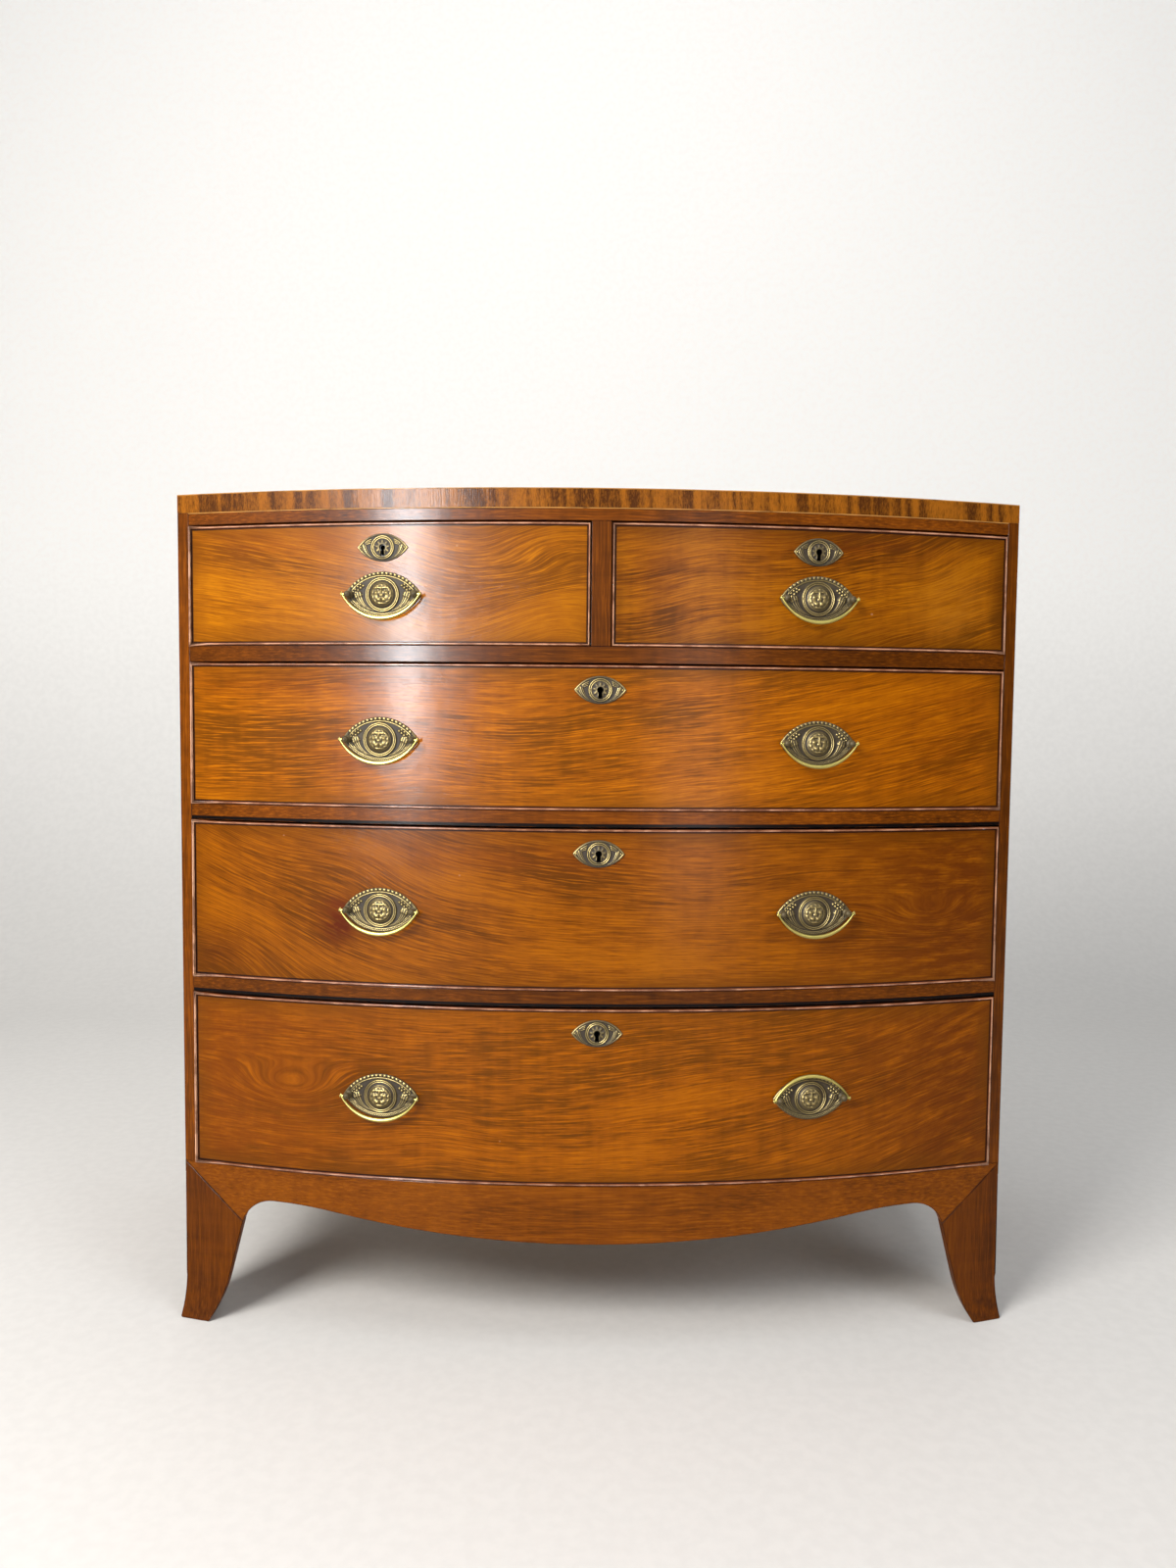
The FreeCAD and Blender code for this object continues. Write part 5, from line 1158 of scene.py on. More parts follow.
def stamped_sheet(outline, hole, relief, rings, polished, pierced):
    """Corners, faces and proud values of a closed stamped plate, in metres from its middle.

    The sheet is a net of rings between the hole and the outline. Its back follows the bow of the wood.
    Its proud value grows with its height by polished.
    """
    count = len(outline)
    shares = np.linspace(0, 1, rings)[:, None, None]
    net = hole[None] * (1 - shares) + outline[None] * shares
    x, z = net[..., 0], net[..., 1]
    height = relief(x, z)
    blurred = height.copy()
    for _ in range(5):
        padded = np.pad(blurred, ((1, 1), (0, 0)), mode="edge")
        blurred = (padded[:-2] + padded[2:] + np.roll(blurred, 1, 1) + np.roll(blurred, -1, 1) + 2 * blurred) / 6
    raised = np.clip(0.12 + 4.4 * (height - blurred) + polished * (height - 1.4), 0, 1)
    bow = x**2 / (2 * bow_radius() / MM)
    front = np.stack([x, -(height + PLATE_SEAT) * np.ones_like(x), z], -1).reshape(-1, 3)
    back = np.stack([x, bow - PLATE_SEAT, z], -1)[[0, -1]].reshape(-1, 3)
    around = np.arange(count)
    after = (around + 1) % count
    faces = []

    def band(near, far):
        faces.extend(np.stack([near + around, far + around, far + after, near + after], 1).tolist())

    for ring in range(rings - 1):
        band(ring * count, (ring + 1) * count)
    inner_back, outer_back = rings * count, (rings + 1) * count
    band((rings - 1) * count, outer_back)
    if pierced:
        faces += np.stack([after, inner_back + after, inner_back + around, around], 1).tolist()
    closing = [inner_back + around, inner_back + after, outer_back + after, outer_back + around]
    faces += np.stack(closing, 1).tolist()
    return np.concatenate([front, back]) * MM, faces, np.concatenate([raised.reshape(-1), np.zeros(2 * count)])


def sheet_mesh(name, places, sheet):
    """One mesh of a stamped sheet repeated at each place."""
    corners, faces, proud = sheet
    all_corners, all_faces = [], []
    for number, place in enumerate(places):
        matrix = np.array(place)
        all_corners.append(corners @ matrix[:3, :3].T + matrix[:3, 3])
        all_faces += [[corner + number * len(corners) for corner in face] for face in faces]
    mesh = bpy.data.meshes.new(name)
    mesh.from_pydata(np.concatenate(all_corners).tolist(), [], all_faces)
    mesh.attributes.new("proud", "FLOAT", "POINT").data.foreach_set("value", np.tile(proud, len(places)))
    shape = bmesh.new()
    shape.from_mesh(mesh)
    bmesh.ops.remove_doubles(shape, verts=shape.verts, dist=1e-7)
    bmesh.ops.recalc_face_normals(shape, faces=shape.faces)
    shape.to_mesh(mesh)
    shape.free()
    smooth(mesh, math.radians(60))
    return mesh


# ---------------------------------------------------------------------------------- repeated fittings


def fitting_tree():
    """Sets a fitting on every point, turned as the point's own attribute says."""
    tree = bpy.data.node_groups.new("set_fittings", "GeometryNodeTree")
    tree.is_modifier = True
    kinds = {"Geometry": "Geometry", "Fitting": "Object", "Finish": "Material", "Scale": "Float", "Spin": "Float"}
    for label, kind in kinds.items():
        tree.interface.new_socket(label, in_out="INPUT", socket_type=f"NodeSocket{kind}")
    tree.interface.new_socket("Geometry", in_out="OUTPUT", socket_type="NodeSocketGeometry")
    w = Wiring(tree)
    given = w.add("NodeGroupInput").outputs
    fitting = w.add("GeometryNodeObjectInfo", {"Object": given["Fitting"]})
    facing = w.add("GeometryNodeInputNamedAttribute", {"Name": "facing"}, data_type="FLOAT_VECTOR")
    as_turn = w.add("FunctionNodeEulerToRotation", {0: facing.outputs[0]})
    chance = w.add("FunctionNodeRandomValue", {"Seed": 7}, data_type="FLOAT")
    spin = w.join_xyz(0.0, w.times(chance.outputs[1], given["Spin"]), 0.0)
    own_turn = w.add("FunctionNodeEulerToRotation", {0: spin})
    turns = {0: as_turn.outputs[0], 1: own_turn.outputs[0]}
    turn = w.add("FunctionNodeRotateRotation", turns, rotation_space="LOCAL").outputs[0]
    instance = {"Instance": fitting.outputs["Geometry"], "Rotation": turn, "Scale": given["Scale"]}
    placed = w.add("GeometryNodeInstanceOnPoints", {"Points": given["Geometry"], **instance})
    real = w.add("GeometryNodeRealizeInstances", {0: placed.outputs[0]})
    done = w.add("GeometryNodeSetMaterial", {"Geometry": real.outputs[0], "Material": given["Finish"]})
    w.add("NodeGroupOutput", {0: done.outputs[0]})
    return tree


def set_fittings(name, places, fitting, material, spin=0.0):
    """A piece made of one fitting repeated at each place. The fitting's own object is removed by the caller."""
    points = bpy.data.meshes.new(name)
    points.from_pydata([tuple(place.translation) for place in places], [], [])
    facing = points.attributes.new("facing", "FLOAT_VECTOR", "POINT")
    facing.data.foreach_set("vector", [angle for place in places for angle in place.to_euler()])
    holder = bpy.data.objects.new(name, points)
    bpy.context.scene.collection.objects.link(holder)
    tree = bpy.data.node_groups.get("set_fittings") or fitting_tree()
    modifier = holder.modifiers.new("fittings", "NODES")
    modifier.node_group = tree
    sockets = {item.name: item.identifier for item in tree.interface.items_tree if item.in_out == "INPUT"}
    for label, given in (("Fitting", fitting), ("Finish", material), ("Scale", 1.0), ("Spin", spin)):
        modifier[sockets[label]] = given
    mesh = baked(holder)
    mesh.materials.clear()
    mesh.polygons.foreach_set("material_index", [0] * len(mesh.polygons))
    smooth(mesh)
    return piece(name, mesh, material)


def as_fitting(name, shape, proud=0.6):
    """A bmesh as an object to be repeated, with the attribute that its metal reads."""
    mesh = bpy.data.meshes.new(name)
    shape.to_mesh(mesh)
    shape.free()
    values = mesh.attributes.new("proud", "FLOAT", "POINT").data
    values.foreach_set("value", [proud] * len(mesh.vertices))
    return piece(name, mesh)


# ---------------------------------------------------------------------------------- groups of solids


def islands(shape):
    """The separate solids of a shape, each as its list of corners."""
    left = set(shape.verts)
    found = []
    while left:
        queue = [left.pop()]
        group = []
        while queue:
            vert = queue.pop()
            group.append(vert)
            for edge in vert.link_edges:
                other = edge.other_vert(vert)
                if other in left:
                    left.remove(other)
                    queue.append(other)
        found.append(group)
    return sorted(found, key=lambda group: min(v.index for v in group))


def extent(group):
    """Lowest and highest corner of a group of corners."""
    low = Vector([min(v.co[axis] for v in group) for axis in range(3)])
    high = Vector([max(v.co[axis] for v in group) for axis in range(3)])
    return low, high


def number_boards(shape):
    """Gives the faces of each solid their own number, so that no two boards share their grain."""
    layer = shape.faces.layers.float.new("board")
    shape.verts.index_update()
    for number, group in enumerate(islands(shape)):
        for vert in group:
            for face in vert.link_faces:
                face[layer] = number


def gathered(shapes):
    """Several shapes as one."""
    whole = bmesh.new()
    for shape in shapes:
        mesh = bpy.data.meshes.new("part")
        shape.to_mesh(mesh)
        shape.free()
        whole.from_mesh(mesh)
        bpy.data.meshes.remove(mesh)
    return whole


# ---------------------------------------------------------------------------------- operators

# Profiles of the turned fittings, in metres: radius, and how far out of the wood.
NAIL_PROFILE = ((0.0009, -0.032), (0.0011, -0.001), (0.0029, -0.0009), (0.0028, -0.0003), (0.0012, 0.0), (0.0, 0.0))
POST_PROFILE = (
    (0.0019, -0.0295), (0.0024, -0.0290), (0.0024, 0.0012), (0.0046, 0.0013), (0.0049, 0.0020),
    (0.0045, 0.0028), (0.0033, 0.0034), (0.0025, 0.0042), (0.0025, 0.0050), (0.0034, 0.0057),
    (0.0041, 0.0070), (0.0043, 0.0088), (0.0041, 0.0104), (0.0034, 0.0118), (0.0024, 0.0127),
    (0.0016, 0.0130), (0.0014, 0.0135), (0.0009, 0.0140), (0.0, 0.0141),
)
BAIL_PIN_PROFILE = (
    (0.0, -0.0092), (0.0014, -0.0091), (0.0014, -0.0008), (0.0020, -0.0003),
    (0.0022, 0.0005), (0.0016, 0.0013), (0.0, 0.0016),
)
PIN_PROFILE = ((0.0008, -0.009), (0.0009, 0.0006), (0.0014, 0.0007), (0.0013, 0.0012), (0.0008, 0.0016), (0.0, 0.0018))
SCREW_PROFILE = (
    (0.0013, -0.0112), (0.0014, -0.0004), (0.0029, -0.0001), (0.0030, 0.0004),
    (0.0027, 0.0008), (0.0019, 0.0011), (0.0, 0.0011),
)


class ChestOperator(bpy.types.Operator):
    """Common settings of the operators that make the chest's pieces."""

    bl_options = {"REGISTER", "UNDO"}


class CHEST_OT_case(ChestOperator):
    """Sides, rails and the post between the short drawers, with rubbed edges"""

    bl_idname = "chest.case"
    bl_label = "Case"

    def execute(self, context):
        plain = plain_tones()
        # 1.4 times lighter. On the left side this is painted light: it is made lighter than the right side, as lit
        # from the left.
        lighter_tones = (scaled(plain[0], 1.4), scaled(plain[1], 1.4), plain[2])
        for node, order, offset, tones in (
            ("left_side", "zyx", (0.3, 0.0, 0.0), lighter_tones),
            ("right_side", "zyx", (4.1, 1.0, 0.0), plain),
            ("lower_rail", "xzy", (1.7, 0.0, 0.0), plain),
            ("middle_rail", "xzy", (5.2, 0.0, 0.0), lighter_tones),
            ("upper_rail", "xzy", (8.8, 0.0, 0.0), plain),
            ("top_rail", "xzy", (12.4, 0.0, 0.0), lighter_tones),
            ("partition", "zxy", (3.3, 0.0, 0.0), plain),
        ):
            # The lower and middle rails get that band of painted shade along their lower edge.
            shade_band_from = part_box(node)[0][2] if node in ("lower_rail", "middle_rail") else None
            material = plain_mahogany(f"{node}_mahogany", order, offset, tones, shade_band_from=shade_band_from)
            worn_board(node, material, sizes().worn_edge)
        return {"FINISHED"}


class CHEST_OT_top(ChestOperator):
    """The top board, the crossbanding on its front edge and the two light strings"""

    bl_idname = "chest.top"
    bl_label = "Top"

    def execute(self, context):
        width = sizes().worn_edge
        worn_board("top_board", top_veneer(), width)
        worn_board("top_crossbanding", crossbanding(), width / 3)
        worn_board("stringing", string_wood(), width / 3)
        return {"FINISHED"}


class CHEST_OT_base(ChestOperator):
    """The shaped apron, the splayed feet and the side aprons"""

    bl_idname = "chest.base"
    bl_label = "Base"

    def execute(self, context):
        tones = [tint(name) for name in ("base_light", "base_mid", "base_dark")]
        darker = [(0.60 * red, 0.57 * green, 0.4 * blue) for red, green, blue in tones]
        woods = {
            "front_apron": plain_mahogany("apron_mahogany", "xzy", (2.6, 0.2, 0.0), tones, mottle=0.3),
            "side_aprons": plain_mahogany("side_apron_mahogany", "yzx", (6.1, 0.7, 0.0), tones, mottle=0.3),
        }
        for number, node in enumerate(("front_left_foot", "front_right_foot", "rear_left_foot", "rear_right_foot")):
            place = (number * 3.3, 0.0, 0.0)
            woods[node] = plain_mahogany(f"{node}_mahogany", "zxy", place, darker, foot=True)
        for node, wood in woods.items():
            worn_board(node, wood, sizes().foot_edge)
        return {"FINISHED"}


class CHEST_OT_inner_woods(ChestOperator):
    """The bottom board, back, runners, dustboards and glue blocks, in dry dusty pine"""

    bl_idname = "chest.inner_woods"
    bl_label = "Inner woods"

    def execute(self, context):
        for node, order, age in (
            ("bottom_board", "xyz", 0.45),
            ("back_boards", "zxy", 0.35),
            ("runners", "yxz", 0.3),
            ("dustboards", "xyz", 0.4),
            ("glue_blocks", "xyz", 0.5),
        ):
            shape = merged_node(node)
            number_boards(shape)
            round_edges(shape, sharp_edges(shape), sizes().worn_edge / 2, segments=1)
            material = dry_wood(f"{node}_pine", order, tint("pine"), (0.4, 0.9, 0.0), age)
            settle(finished(shape, f"{node}_sawn", material), node=node)
        return {"FINISHED"}


class CHEST_OT_nails(ChestOperator):
    """Hand made nails that hold the back boards"""

    bl_idname = "chest.nails"
    bl_label = "Back nails"

    def execute(self, context):
        shape = merged_node("back_nails")
        places = []
        for group in islands(shape):
            low, high = extent(group)
            middle = (low + high) / 2
            places.append(Matrix.Translation((middle.x, high.y, middle.z)) @ Matrix.Rotation(math.pi, 4, "Z"))
        shape.free()
        nail = as_fitting("nail", turned(NAIL_PROFILE, segments=9))
        made = set_fittings("back_nail_heads", places, nail, finish("dark_iron"), spin=math.pi)
        bpy.data.objects.remove(nail)
        settle(made, node="back_nails")
        return {"FINISHED"}


class CHEST_OT_drawer_fronts(ChestOperator):
    """Bowed drawer fronts, veneered with figured mahogany"""

    bl_idname = "chest.drawer_fronts"
    bl_label = "Drawer fronts"

    def execute(self, context):
        for drawer in DRAWERS:
            node = f"{drawer}_front"
            made = finished(merged_node(node), f"{node}_veneered", drawer_veneer(drawer))
            settle(made, f"{drawer}_drawer", node)
        return {"FINISHED"}


class CHEST_OT_beading(ChestOperator):
    """Cock beading round each drawer, with its nose rounded"""

    bl_idname = "chest.beading"
    bl_label = "Cock beading"

    def execute(self, context):
        material = bead_wood()
        reach = bow_radius() + BEAD_BACK
        centre_y = FRONT_Y + bow_radius()
        for drawer in DRAWERS:
            node = f"{drawer}_beading"
            shape = merged_node(node)
            noses = []
            for edge in sharp_edges(shape):
                first, second = (vert.co for vert in edge.verts)
                in_front = all(math.hypot(co.x, co.y - centre_y) > reach for co in (first, second))
                mitre = abs(first.z - second.z) > 1e-4 and abs(first.x - second.x) > 1e-4
                if in_front and not mitre:
                    noses.append(edge)
            round_edges(shape, noses, sizes().bead_nose, segments=3)
            # upright marks the upright beads, which get less of the painted highlight on their nose.
            upright = shape.verts.layers.float.new("upright")
            for group in islands(shape):
                low, high = extent(group)
                for vert in group:
                    vert[upright] = float(high.z - low.z > high.x - low.x)
            settle(finished(shape, f"{node}_rounded", material), f"{drawer}_drawer", node)
        return {"FINISHED"}


class CHEST_OT_drawer_boxes(ChestOperator):
    """Oak drawer linings, backs and bottoms"""

    bl_idname = "chest.drawer_boxes"
    bl_label = "Drawer boxes"

    def execute(self, context):
        parts = (
            ("lining", "yzx", (0.0, 0.3, 0.0)), ("bottom", "xyz", (1.9, 0.1, 0.0)), ("back", "xzy", (4.2, 0.6, 0.0))
        )
        materials = [dry_wood(f"oak_{part}", order, tint("oak"), offset, 0.25) for part, order, offset in parts]
        for drawer in DRAWERS:
            node = f"{drawer}_box"
            shape = merged_node(node)
            number_boards(shape)
            for group in islands(shape):
                low, high = extent(group)
                long_x, long_y, long_z = high - low
                kind = 1 if long_z < FLAT_BOARD else (0 if long_y > long_x else 2)
                for vert in group:
                    for face in vert.link_faces:
                        face.material_index = kind
            settle(finished(shape, f"{node}_oak", *materials), f"{drawer}_drawer", node)
        return {"FINISHED"}


class CHEST_OT_backplates(ChestOperator):
    """Stamped backplates with a lion mask between two horns of plenty"""

    bl_idname = "chest.backplates"
    bl_label = "Backplates"

    def execute(self, context):
        given = sizes()
        outline = eye_outline(given.plate_half_width / MM, given.plate_half_height / MM, 336)
        middle = np.zeros_like(outline)
        sheet = stamped_sheet(outline, middle, backplate_relief, 88, polished=0.09, pierced=False)
        for drawer in DRAWERS:
            name = f"{drawer}_backplates"
            mesh = sheet_mesh(name, [handle_place(bail) for bail in bails_of(drawer)], sheet)
            made = piece(name, mesh, finish("stamped_brass"))
            settle(made, f"{drawer}_drawer", f"{drawer}_brasses")
        return {"FINISHED"}


class CHEST_OT_posts(ChestOperator):
    """Turned posts that carry the bails, each with its nut inside the drawer"""

    bl_idname = "chest.posts"
    bl_label = "Posts and nuts"

    def execute(self, context):
        nut = bmesh.new()
        bmesh.ops.create_cube(nut, size=1.0)
        bmesh.ops.scale(nut, vec=(0.011, 0.003, 0.011), verts=nut.verts)
        bmesh.ops.translate(nut, vec=(0, 0.0262, 0), verts=nut.verts)
        bmesh.ops.bevel(nut, geom=nut.edges[:], offset=0.0006, segments=1, affect="EDGES")
        post = as_fitting("post", gathered([turned(POST_PROFILE, segments=24), nut]), proud=0.42)
        for drawer in DRAWERS:
            spread = sizes().post_spread
            places = [place for bail in bails_of(drawer) for place in pair(handle_place(bail), spread)]
            made = set_fittings(f"{drawer}_posts", places, post, finish("stamped_brass"))
            settle(made, f"{drawer}_drawer")
        bpy.data.objects.remove(post)
        return {"FINISHED"}


def bail_shape():
    """A bail about its pivot: a bent grip that thins to its ends, two tips and two pins."""
    given = sizes()
    wide, drop = given.bail_half_width, given.bail_drop
    radius = (wide**2 + drop**2) / (2 * drop)
    reach = math.asin(wide / radius)
    path, halves = [], []
    for share in np.linspace(-1, 1, 61):
        turn = share * reach
        point = Vector((radius * math.sin(turn), 0, radius - drop - radius * math.cos(turn)))
        tone = 1 - (point.x / wide) ** 2
        path.append(point)
        halves.append((given.bail_end + (given.bail_grip - given.bail_end) * tone, 0.55 + 0.45 * tone**0.3))
    for rise, half in ((0.0012, 0.0009), (0.0022, 0.0006), (0.0030, 0.0002)):
        out = 0.25 * rise
        path = [Vector((-wide - out, 0, rise)), *path, Vector((wide + out, 0, rise))]
        halves = [(half, half / given.bail_depth), *halves, (half, half / given.bail_depth)]
    sections = []
    for number, (point, (half, depth_share)) in enumerate(zip(path, halves)):
        before, after = path[max(number - 1, 0)], path[min(number + 1, len(path) - 1)]
        heading = (after - before).normalized()
        upward = Vector((-heading.z, 0, heading.x)) * half
        inward = given.bail_depth * depth_share
        turns = [2 * math.pi * step_number / 14 for step_number in range(14)]
        sections.append([point + upward * math.cos(t) + Vector((0, inward * math.sin(t), 0)) for t in turns])
    shapes = [swept(sections)]
    for side in (-1, 1):
        shape = turned(BAIL_PIN_PROFILE, segments=14)
        place = Matrix.Translation((side * (wide + 0.0008), 0, 0)) @ Matrix.Rotation(side * math.pi / 2, 4, "Z")
        bmesh.ops.transform(shape, matrix=place, verts=shape.verts)
        shapes.append(shape)
    return gathered(shapes)


class CHEST_OT_bails(ChestOperator):
    """Swinging bail handles; the right one of the lowest drawer stands turned up"""

    bl_idname = "chest.bails"
    bl_label = "Bails"

    def execute(self, context):
        for drawer in DRAWERS:
            for bail in bails_of(drawer):
                low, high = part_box(bail)
                raised = (low[2] + high[2]) / 2 > JOINTS[f"{bail}_swing"]["pos_m"][2]
                swing = Matrix.Rotation(-RAISED_TURN if raised else 0.0, 4, "X")
                place = handle_place(bail)
                shape = bail_shape()
                seated = place @ Matrix.Translation((0, -PIVOT_OUT, 0)) @ swing
                bmesh.ops.transform(shape, matrix=seated, verts=shape.verts)
                bmesh.ops.recalc_face_normals(shape, faces=shape.faces)
                proud = shape.verts.layers.float.new("proud")
                shape.normal_update()
                outward = (place.to_3x3() @ Vector((0, -1, 0))).normalized()
                for vert in shape.verts:
                    vert[proud] = 0.45 + 0.55 * max(0.0, vert.normal.dot(outward))
                settle(finished(shape, f"{bail}_cast", finish("held_brass")), bail, bail)
        return {"FINISHED"}


class CHEST_OT_keyhole_plates(ChestOperator):
    """Stamped keyhole plates, each held by two round headed pins"""

    bl_idname = "chest.keyhole_plates"
    bl_label = "Keyhole plates"

    def execute(self, context):
        given = sizes()
        outline = eye_outline(given.cover_half_width / MM, given.cover_half_height / MM, 240)
        sheet = stamped_sheet(outline, keyhole_outline(240), cover_relief, 52, polished=0.34, pierced=True)
        pin = as_fitting("pin", turned(PIN_PROFILE, segments=14), proud=0.8)
        for drawer in DRAWERS:
            place = keyhole_place(drawer)
            mesh = sheet_mesh("cover", [place], sheet)
            cover = piece(f"{drawer}_keyhole_plate", mesh, finish("stamped_brass"))
            places = pair(place, given.cover_pin_spread)
            pins = set_fittings(f"{drawer}_keyhole_pins", places, pin, finish("stamped_brass"))
            for made in (cover, pins):
                settle(made, f"{drawer}_drawer")
        bpy.data.objects.remove(pin)
        return {"FINISHED"}


def lock_case(node, key):
    """A lock's case without its screws, and the places of those."""
    shape = merged_node(node)
    for vert in shape.verts:
        vert.co = key.inverted() @ vert.co
    low, high = extent(shape.verts)
    places = []
    for x in (low.x + SCREW_INSET, high.x - SCREW_INSET):
        for z in (low.z + SCREW_INSET, high.z - SCREW_INSET):
            old = [
                face
                for face in shape.faces
                if all(math.hypot(vert.co.x - x, vert.co.z - z) < SCREW_REACH for vert in face.verts)
            ]
            bmesh.ops.delete(shape, geom=old, context="FACES")
            places.append(key @ Matrix.Translation((x, high.y - SCREW_SUNK, z)) @ Matrix.Rotation(math.pi, 4, "Z"))
    bmesh.ops.holes_fill(shape, edges=[edge for edge in shape.edges if edge.is_boundary])
    for vert in shape.verts:
        vert.co = key @ vert.co
    return shape, places


class CHEST_OT_locks(ChestOperator):
    """Till locks, their screws and their bolts"""

    bl_idname = "chest.locks"
    bl_label = "Locks"

    def execute(self, context):
        screw = as_fitting("screw", slotted(turned(SCREW_PROFILE, segments=20), 0.0009, 0.0007), proud=0.5)
        iron = finish("dark_iron")
        for drawer in DRAWERS:
            node = f"{drawer}_lock"
            shape, places = lock_case(node, keyhole_place(drawer))
            round_edges(shape, sharp_edges(shape), 0.00025, segments=1)
            proud = shape.verts.layers.float.new("proud")
            for vert in shape.verts:
                vert[proud] = 0.5
            for face in shape.faces:
                # The lock's face towards the wood takes the near-black painted shade, as it shows only through the
                # keyhole.
                face.material_index = 1 if face.normal.y < -0.5 else 0
            made = finished(shape, f"{node}_case", finish("dull_brass"), finish("old_wax"))
            settle(made, f"{drawer}_drawer", node)
            screws = set_fittings(f"{node}_screws", places, screw, iron, spin=math.pi)
            settle(screws, f"{drawer}_drawer")
            worn_board(f"{node}_bolt", iron, 0.0004, f"{drawer}_bolt", f"{node}_bolt_filed")
        bpy.data.objects.remove(screw)
        return {"FINISHED"}


MIDDLE = (0.0, -0.2, 0.6)
# Name, place, aim, width, height, watts, tint, and whether it lights all or is only seen as a reflection.
LAMPS = (
    ("key_lamp", (-1.75, -2.1, 2.3), MIDDLE, 1.3, 1.3, 105, (1.0, 0.97, 0.93), True),
    ("fill_lamp", (2.8, -3.0, 3.0), MIDDLE, 2.0, 1.6, 50, (0.95, 0.97, 1.0), True),
    ("top_lamp", (0.0, -0.4, 4.2), (0.0, 0.0, 0.0), 3.0, 3.0, 60, (1, 1, 1), True),
    ("strip_lamp", (-1.22, -2.56, 1.25), (-0.233, -0.2535, 0.95), 0.05, 1.3, 200.0, (0.92, 0.96, 1.0), False),
    ("panel_lamp", (0.70, -2.68, 0.8), (0.128, -0.264, 0.8), 0.46, 1.4, 14.0, (1.0, 0.90, 0.90), False),
)


def area_light(name, place, aim, width, height, watts, tint_colour, lights_all):
    """A soft lamp of that size that faces its aim. One that doesn't light all is a reflection only."""
    data = bpy.data.lights.new(name, "AREA")
    data.shape = "RECTANGLE"
    data.size, data.size_y = width, height
    data.energy = watts
    data.color = tint_colour
    made = bpy.data.objects.new(name, data)
    bpy.context.scene.collection.objects.link(made)
    made.location = place
    made.rotation_euler = (Vector(aim) - Vector(place)).to_track_quat("-Z", "Y").to_euler()
    made.visible_diffuse = lights_all


def studio_paper(floor):
    """Pale paper that glows a little where it rises behind the chest."""
    material, w, shader, place = new_material("studio_paper")
    paper = w.shade(floor, w.span(w.noise(place, 60.0, detail=3), 0.3, 0.7, 0.98, 1.02))
    seen = w.add("ShaderNodeLightPath").outputs
    straight = w.math("MAXIMUM", seen["Is Camera Ray"], seen["Is Glossy Ray"])
    straight = w.math("MAXIMUM", straight, seen["Is Transmission Ray"])
    glow = w.times(w.times(straight, w.span(w.split(place)[2], 0.0, 1.4)), 0.4)
    w.feed(shader, {"Base Color": paper, "Roughness": 0.9, "Specular IOR Level": 0.1})
    w.feed(shader, {"Emission Color": paper, "Emission Strength": glow})
    return material


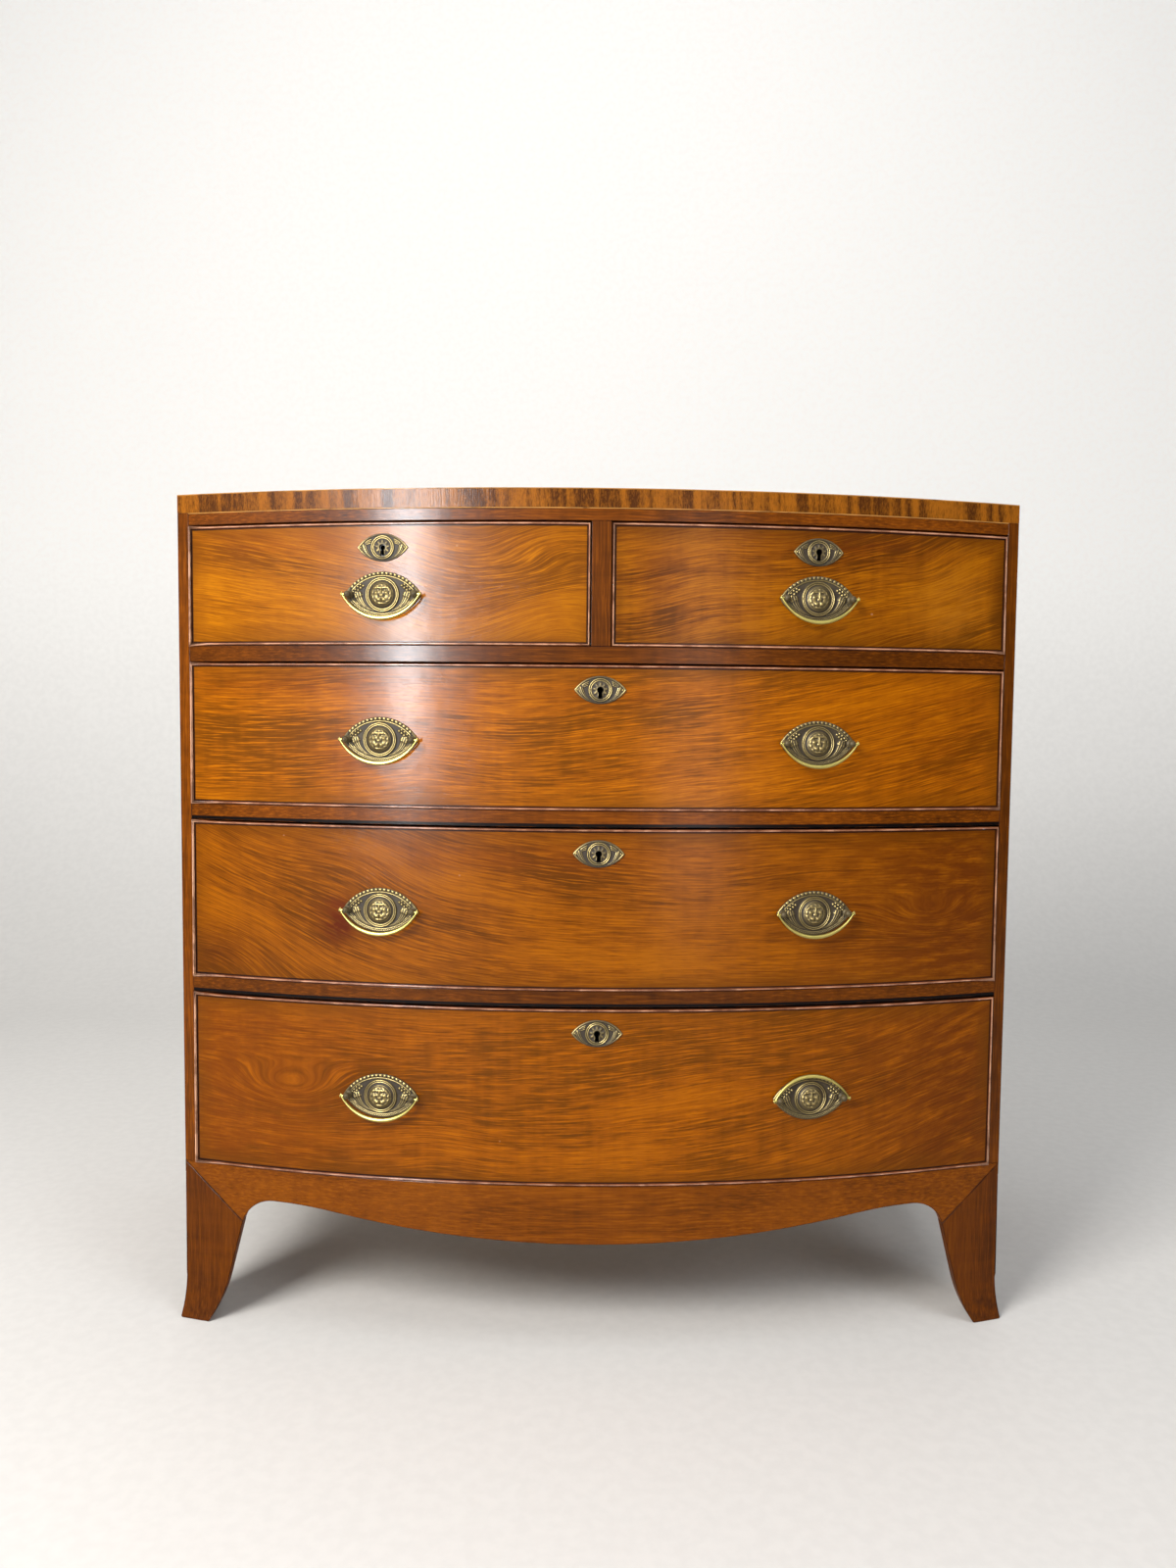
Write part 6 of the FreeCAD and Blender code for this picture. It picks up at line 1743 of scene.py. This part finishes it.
class CHEST_OT_studio(ChestOperator):
    """Pale floor and backdrop, soft lamps and the camera"""

    bl_idname = "chest.studio"
    bl_label = "Studio"

    def execute(self, context):
        given = context.scene.chest.studio
        reach, wall_y, bend, wall_top = 7.0, 1.3, 0.9, 5.0
        turns = [math.radians(90 * number / 12) for number in range(1, 13)]
        curve = [(wall_y + bend * math.sin(turn), bend * (1 - math.cos(turn))) for turn in turns]
        profile = [(-reach, 0.0), (wall_y, 0.0), *curve, (wall_y + bend, wall_top)]
        shape = bmesh.new()
        rows = [[shape.verts.new((x, y, z - 0.0002)) for x in (-reach, reach)] for y, z in profile]
        for near, far in zip(rows, rows[1:]):
            shape.faces.new((near[0], near[1], far[1], far[0]))
        bmesh.ops.recalc_face_normals(shape, faces=shape.faces)
        finished(shape, "studio_floor", studio_paper(tuple(given.floor)))
        for lamp in LAMPS:
            area_light(*lamp)

        world = bpy.data.worlds.new("studio_air")
        context.scene.world = world
        world.use_nodes = True
        world.node_tree.nodes.clear()
        air = Wiring(world.node_tree)
        glow = air.add("ShaderNodeBackground", {"Color": (0.95, 0.97, 1.0), "Strength": 0.18})
        air.add("ShaderNodeOutputWorld", {"Surface": glow.outputs[0]})

        camera = bpy.data.cameras.new("view")
        camera.sensor_fit = "VERTICAL"
        camera.sensor_height = 36
        camera.lens = given.lens
        camera.clip_start = 0.05
        made = bpy.data.objects.new("view", camera)
        context.scene.collection.objects.link(made)
        yaw, pitch, roll = given.camera_yaw, given.camera_pitch, given.camera_roll
        ahead = Vector((math.sin(yaw) * math.cos(pitch), math.cos(yaw) * math.cos(pitch), -math.sin(pitch)))
        level = Vector((math.cos(yaw), -math.sin(yaw), 0))
        upward = level.cross(ahead)
        right = level * math.cos(roll) - upward * math.sin(roll)
        over = upward * math.cos(roll) + level * math.sin(roll)
        facing = Matrix((right, over, -ahead)).transposed().to_4x4()
        made.matrix_world = Matrix.Translation(given.camera_place) @ facing
        context.scene.camera = made
        context.scene.view_settings.view_transform = "Standard"
        return {"FINISHED"}


STEPS = (
    CHEST_OT_case,
    CHEST_OT_top,
    CHEST_OT_base,
    CHEST_OT_inner_woods,
    CHEST_OT_nails,
    CHEST_OT_drawer_fronts,
    CHEST_OT_beading,
    CHEST_OT_drawer_boxes,
    CHEST_OT_backplates,
    CHEST_OT_posts,
    CHEST_OT_bails,
    CHEST_OT_keyhole_plates,
    CHEST_OT_locks,
    CHEST_OT_studio,
)


class CHEST_PT_panel(bpy.types.Panel):
    """Lists the settings and the steps of the chest"""

    bl_idname = "CHEST_PT_panel"
    bl_label = "Bow Front Chest"
    bl_space_type = "VIEW_3D"
    bl_region_type = "UI"
    bl_category = "Chest"

    def draw(self, context):
        for step_class in STEPS:
            self.layout.operator(step_class.bl_idname)
        for group in (context.scene.chest.sizes, context.scene.chest.colours, context.scene.chest.studio):
            box = self.layout.box()
            for label in group.__annotations__:
                box.prop(group, label)


CLASSES = (ChestSizes, ChestColours, ChestStudio, ChestSettings, *STEPS, CHEST_PT_panel)


def register():
    for made in CLASSES:
        bpy.utils.register_class(made)
    bpy.types.Scene.chest = PointerProperty(type=ChestSettings)


def unregister():
    del bpy.types.Scene.chest
    for made in reversed(CLASSES):
        bpy.utils.unregister_class(made)


def main():
    register()
    for step_class in STEPS:
        group, name = step_class.bl_idname.split(".")
        getattr(getattr(bpy.ops, group), name)()


if __name__ == "__main__":
    main()
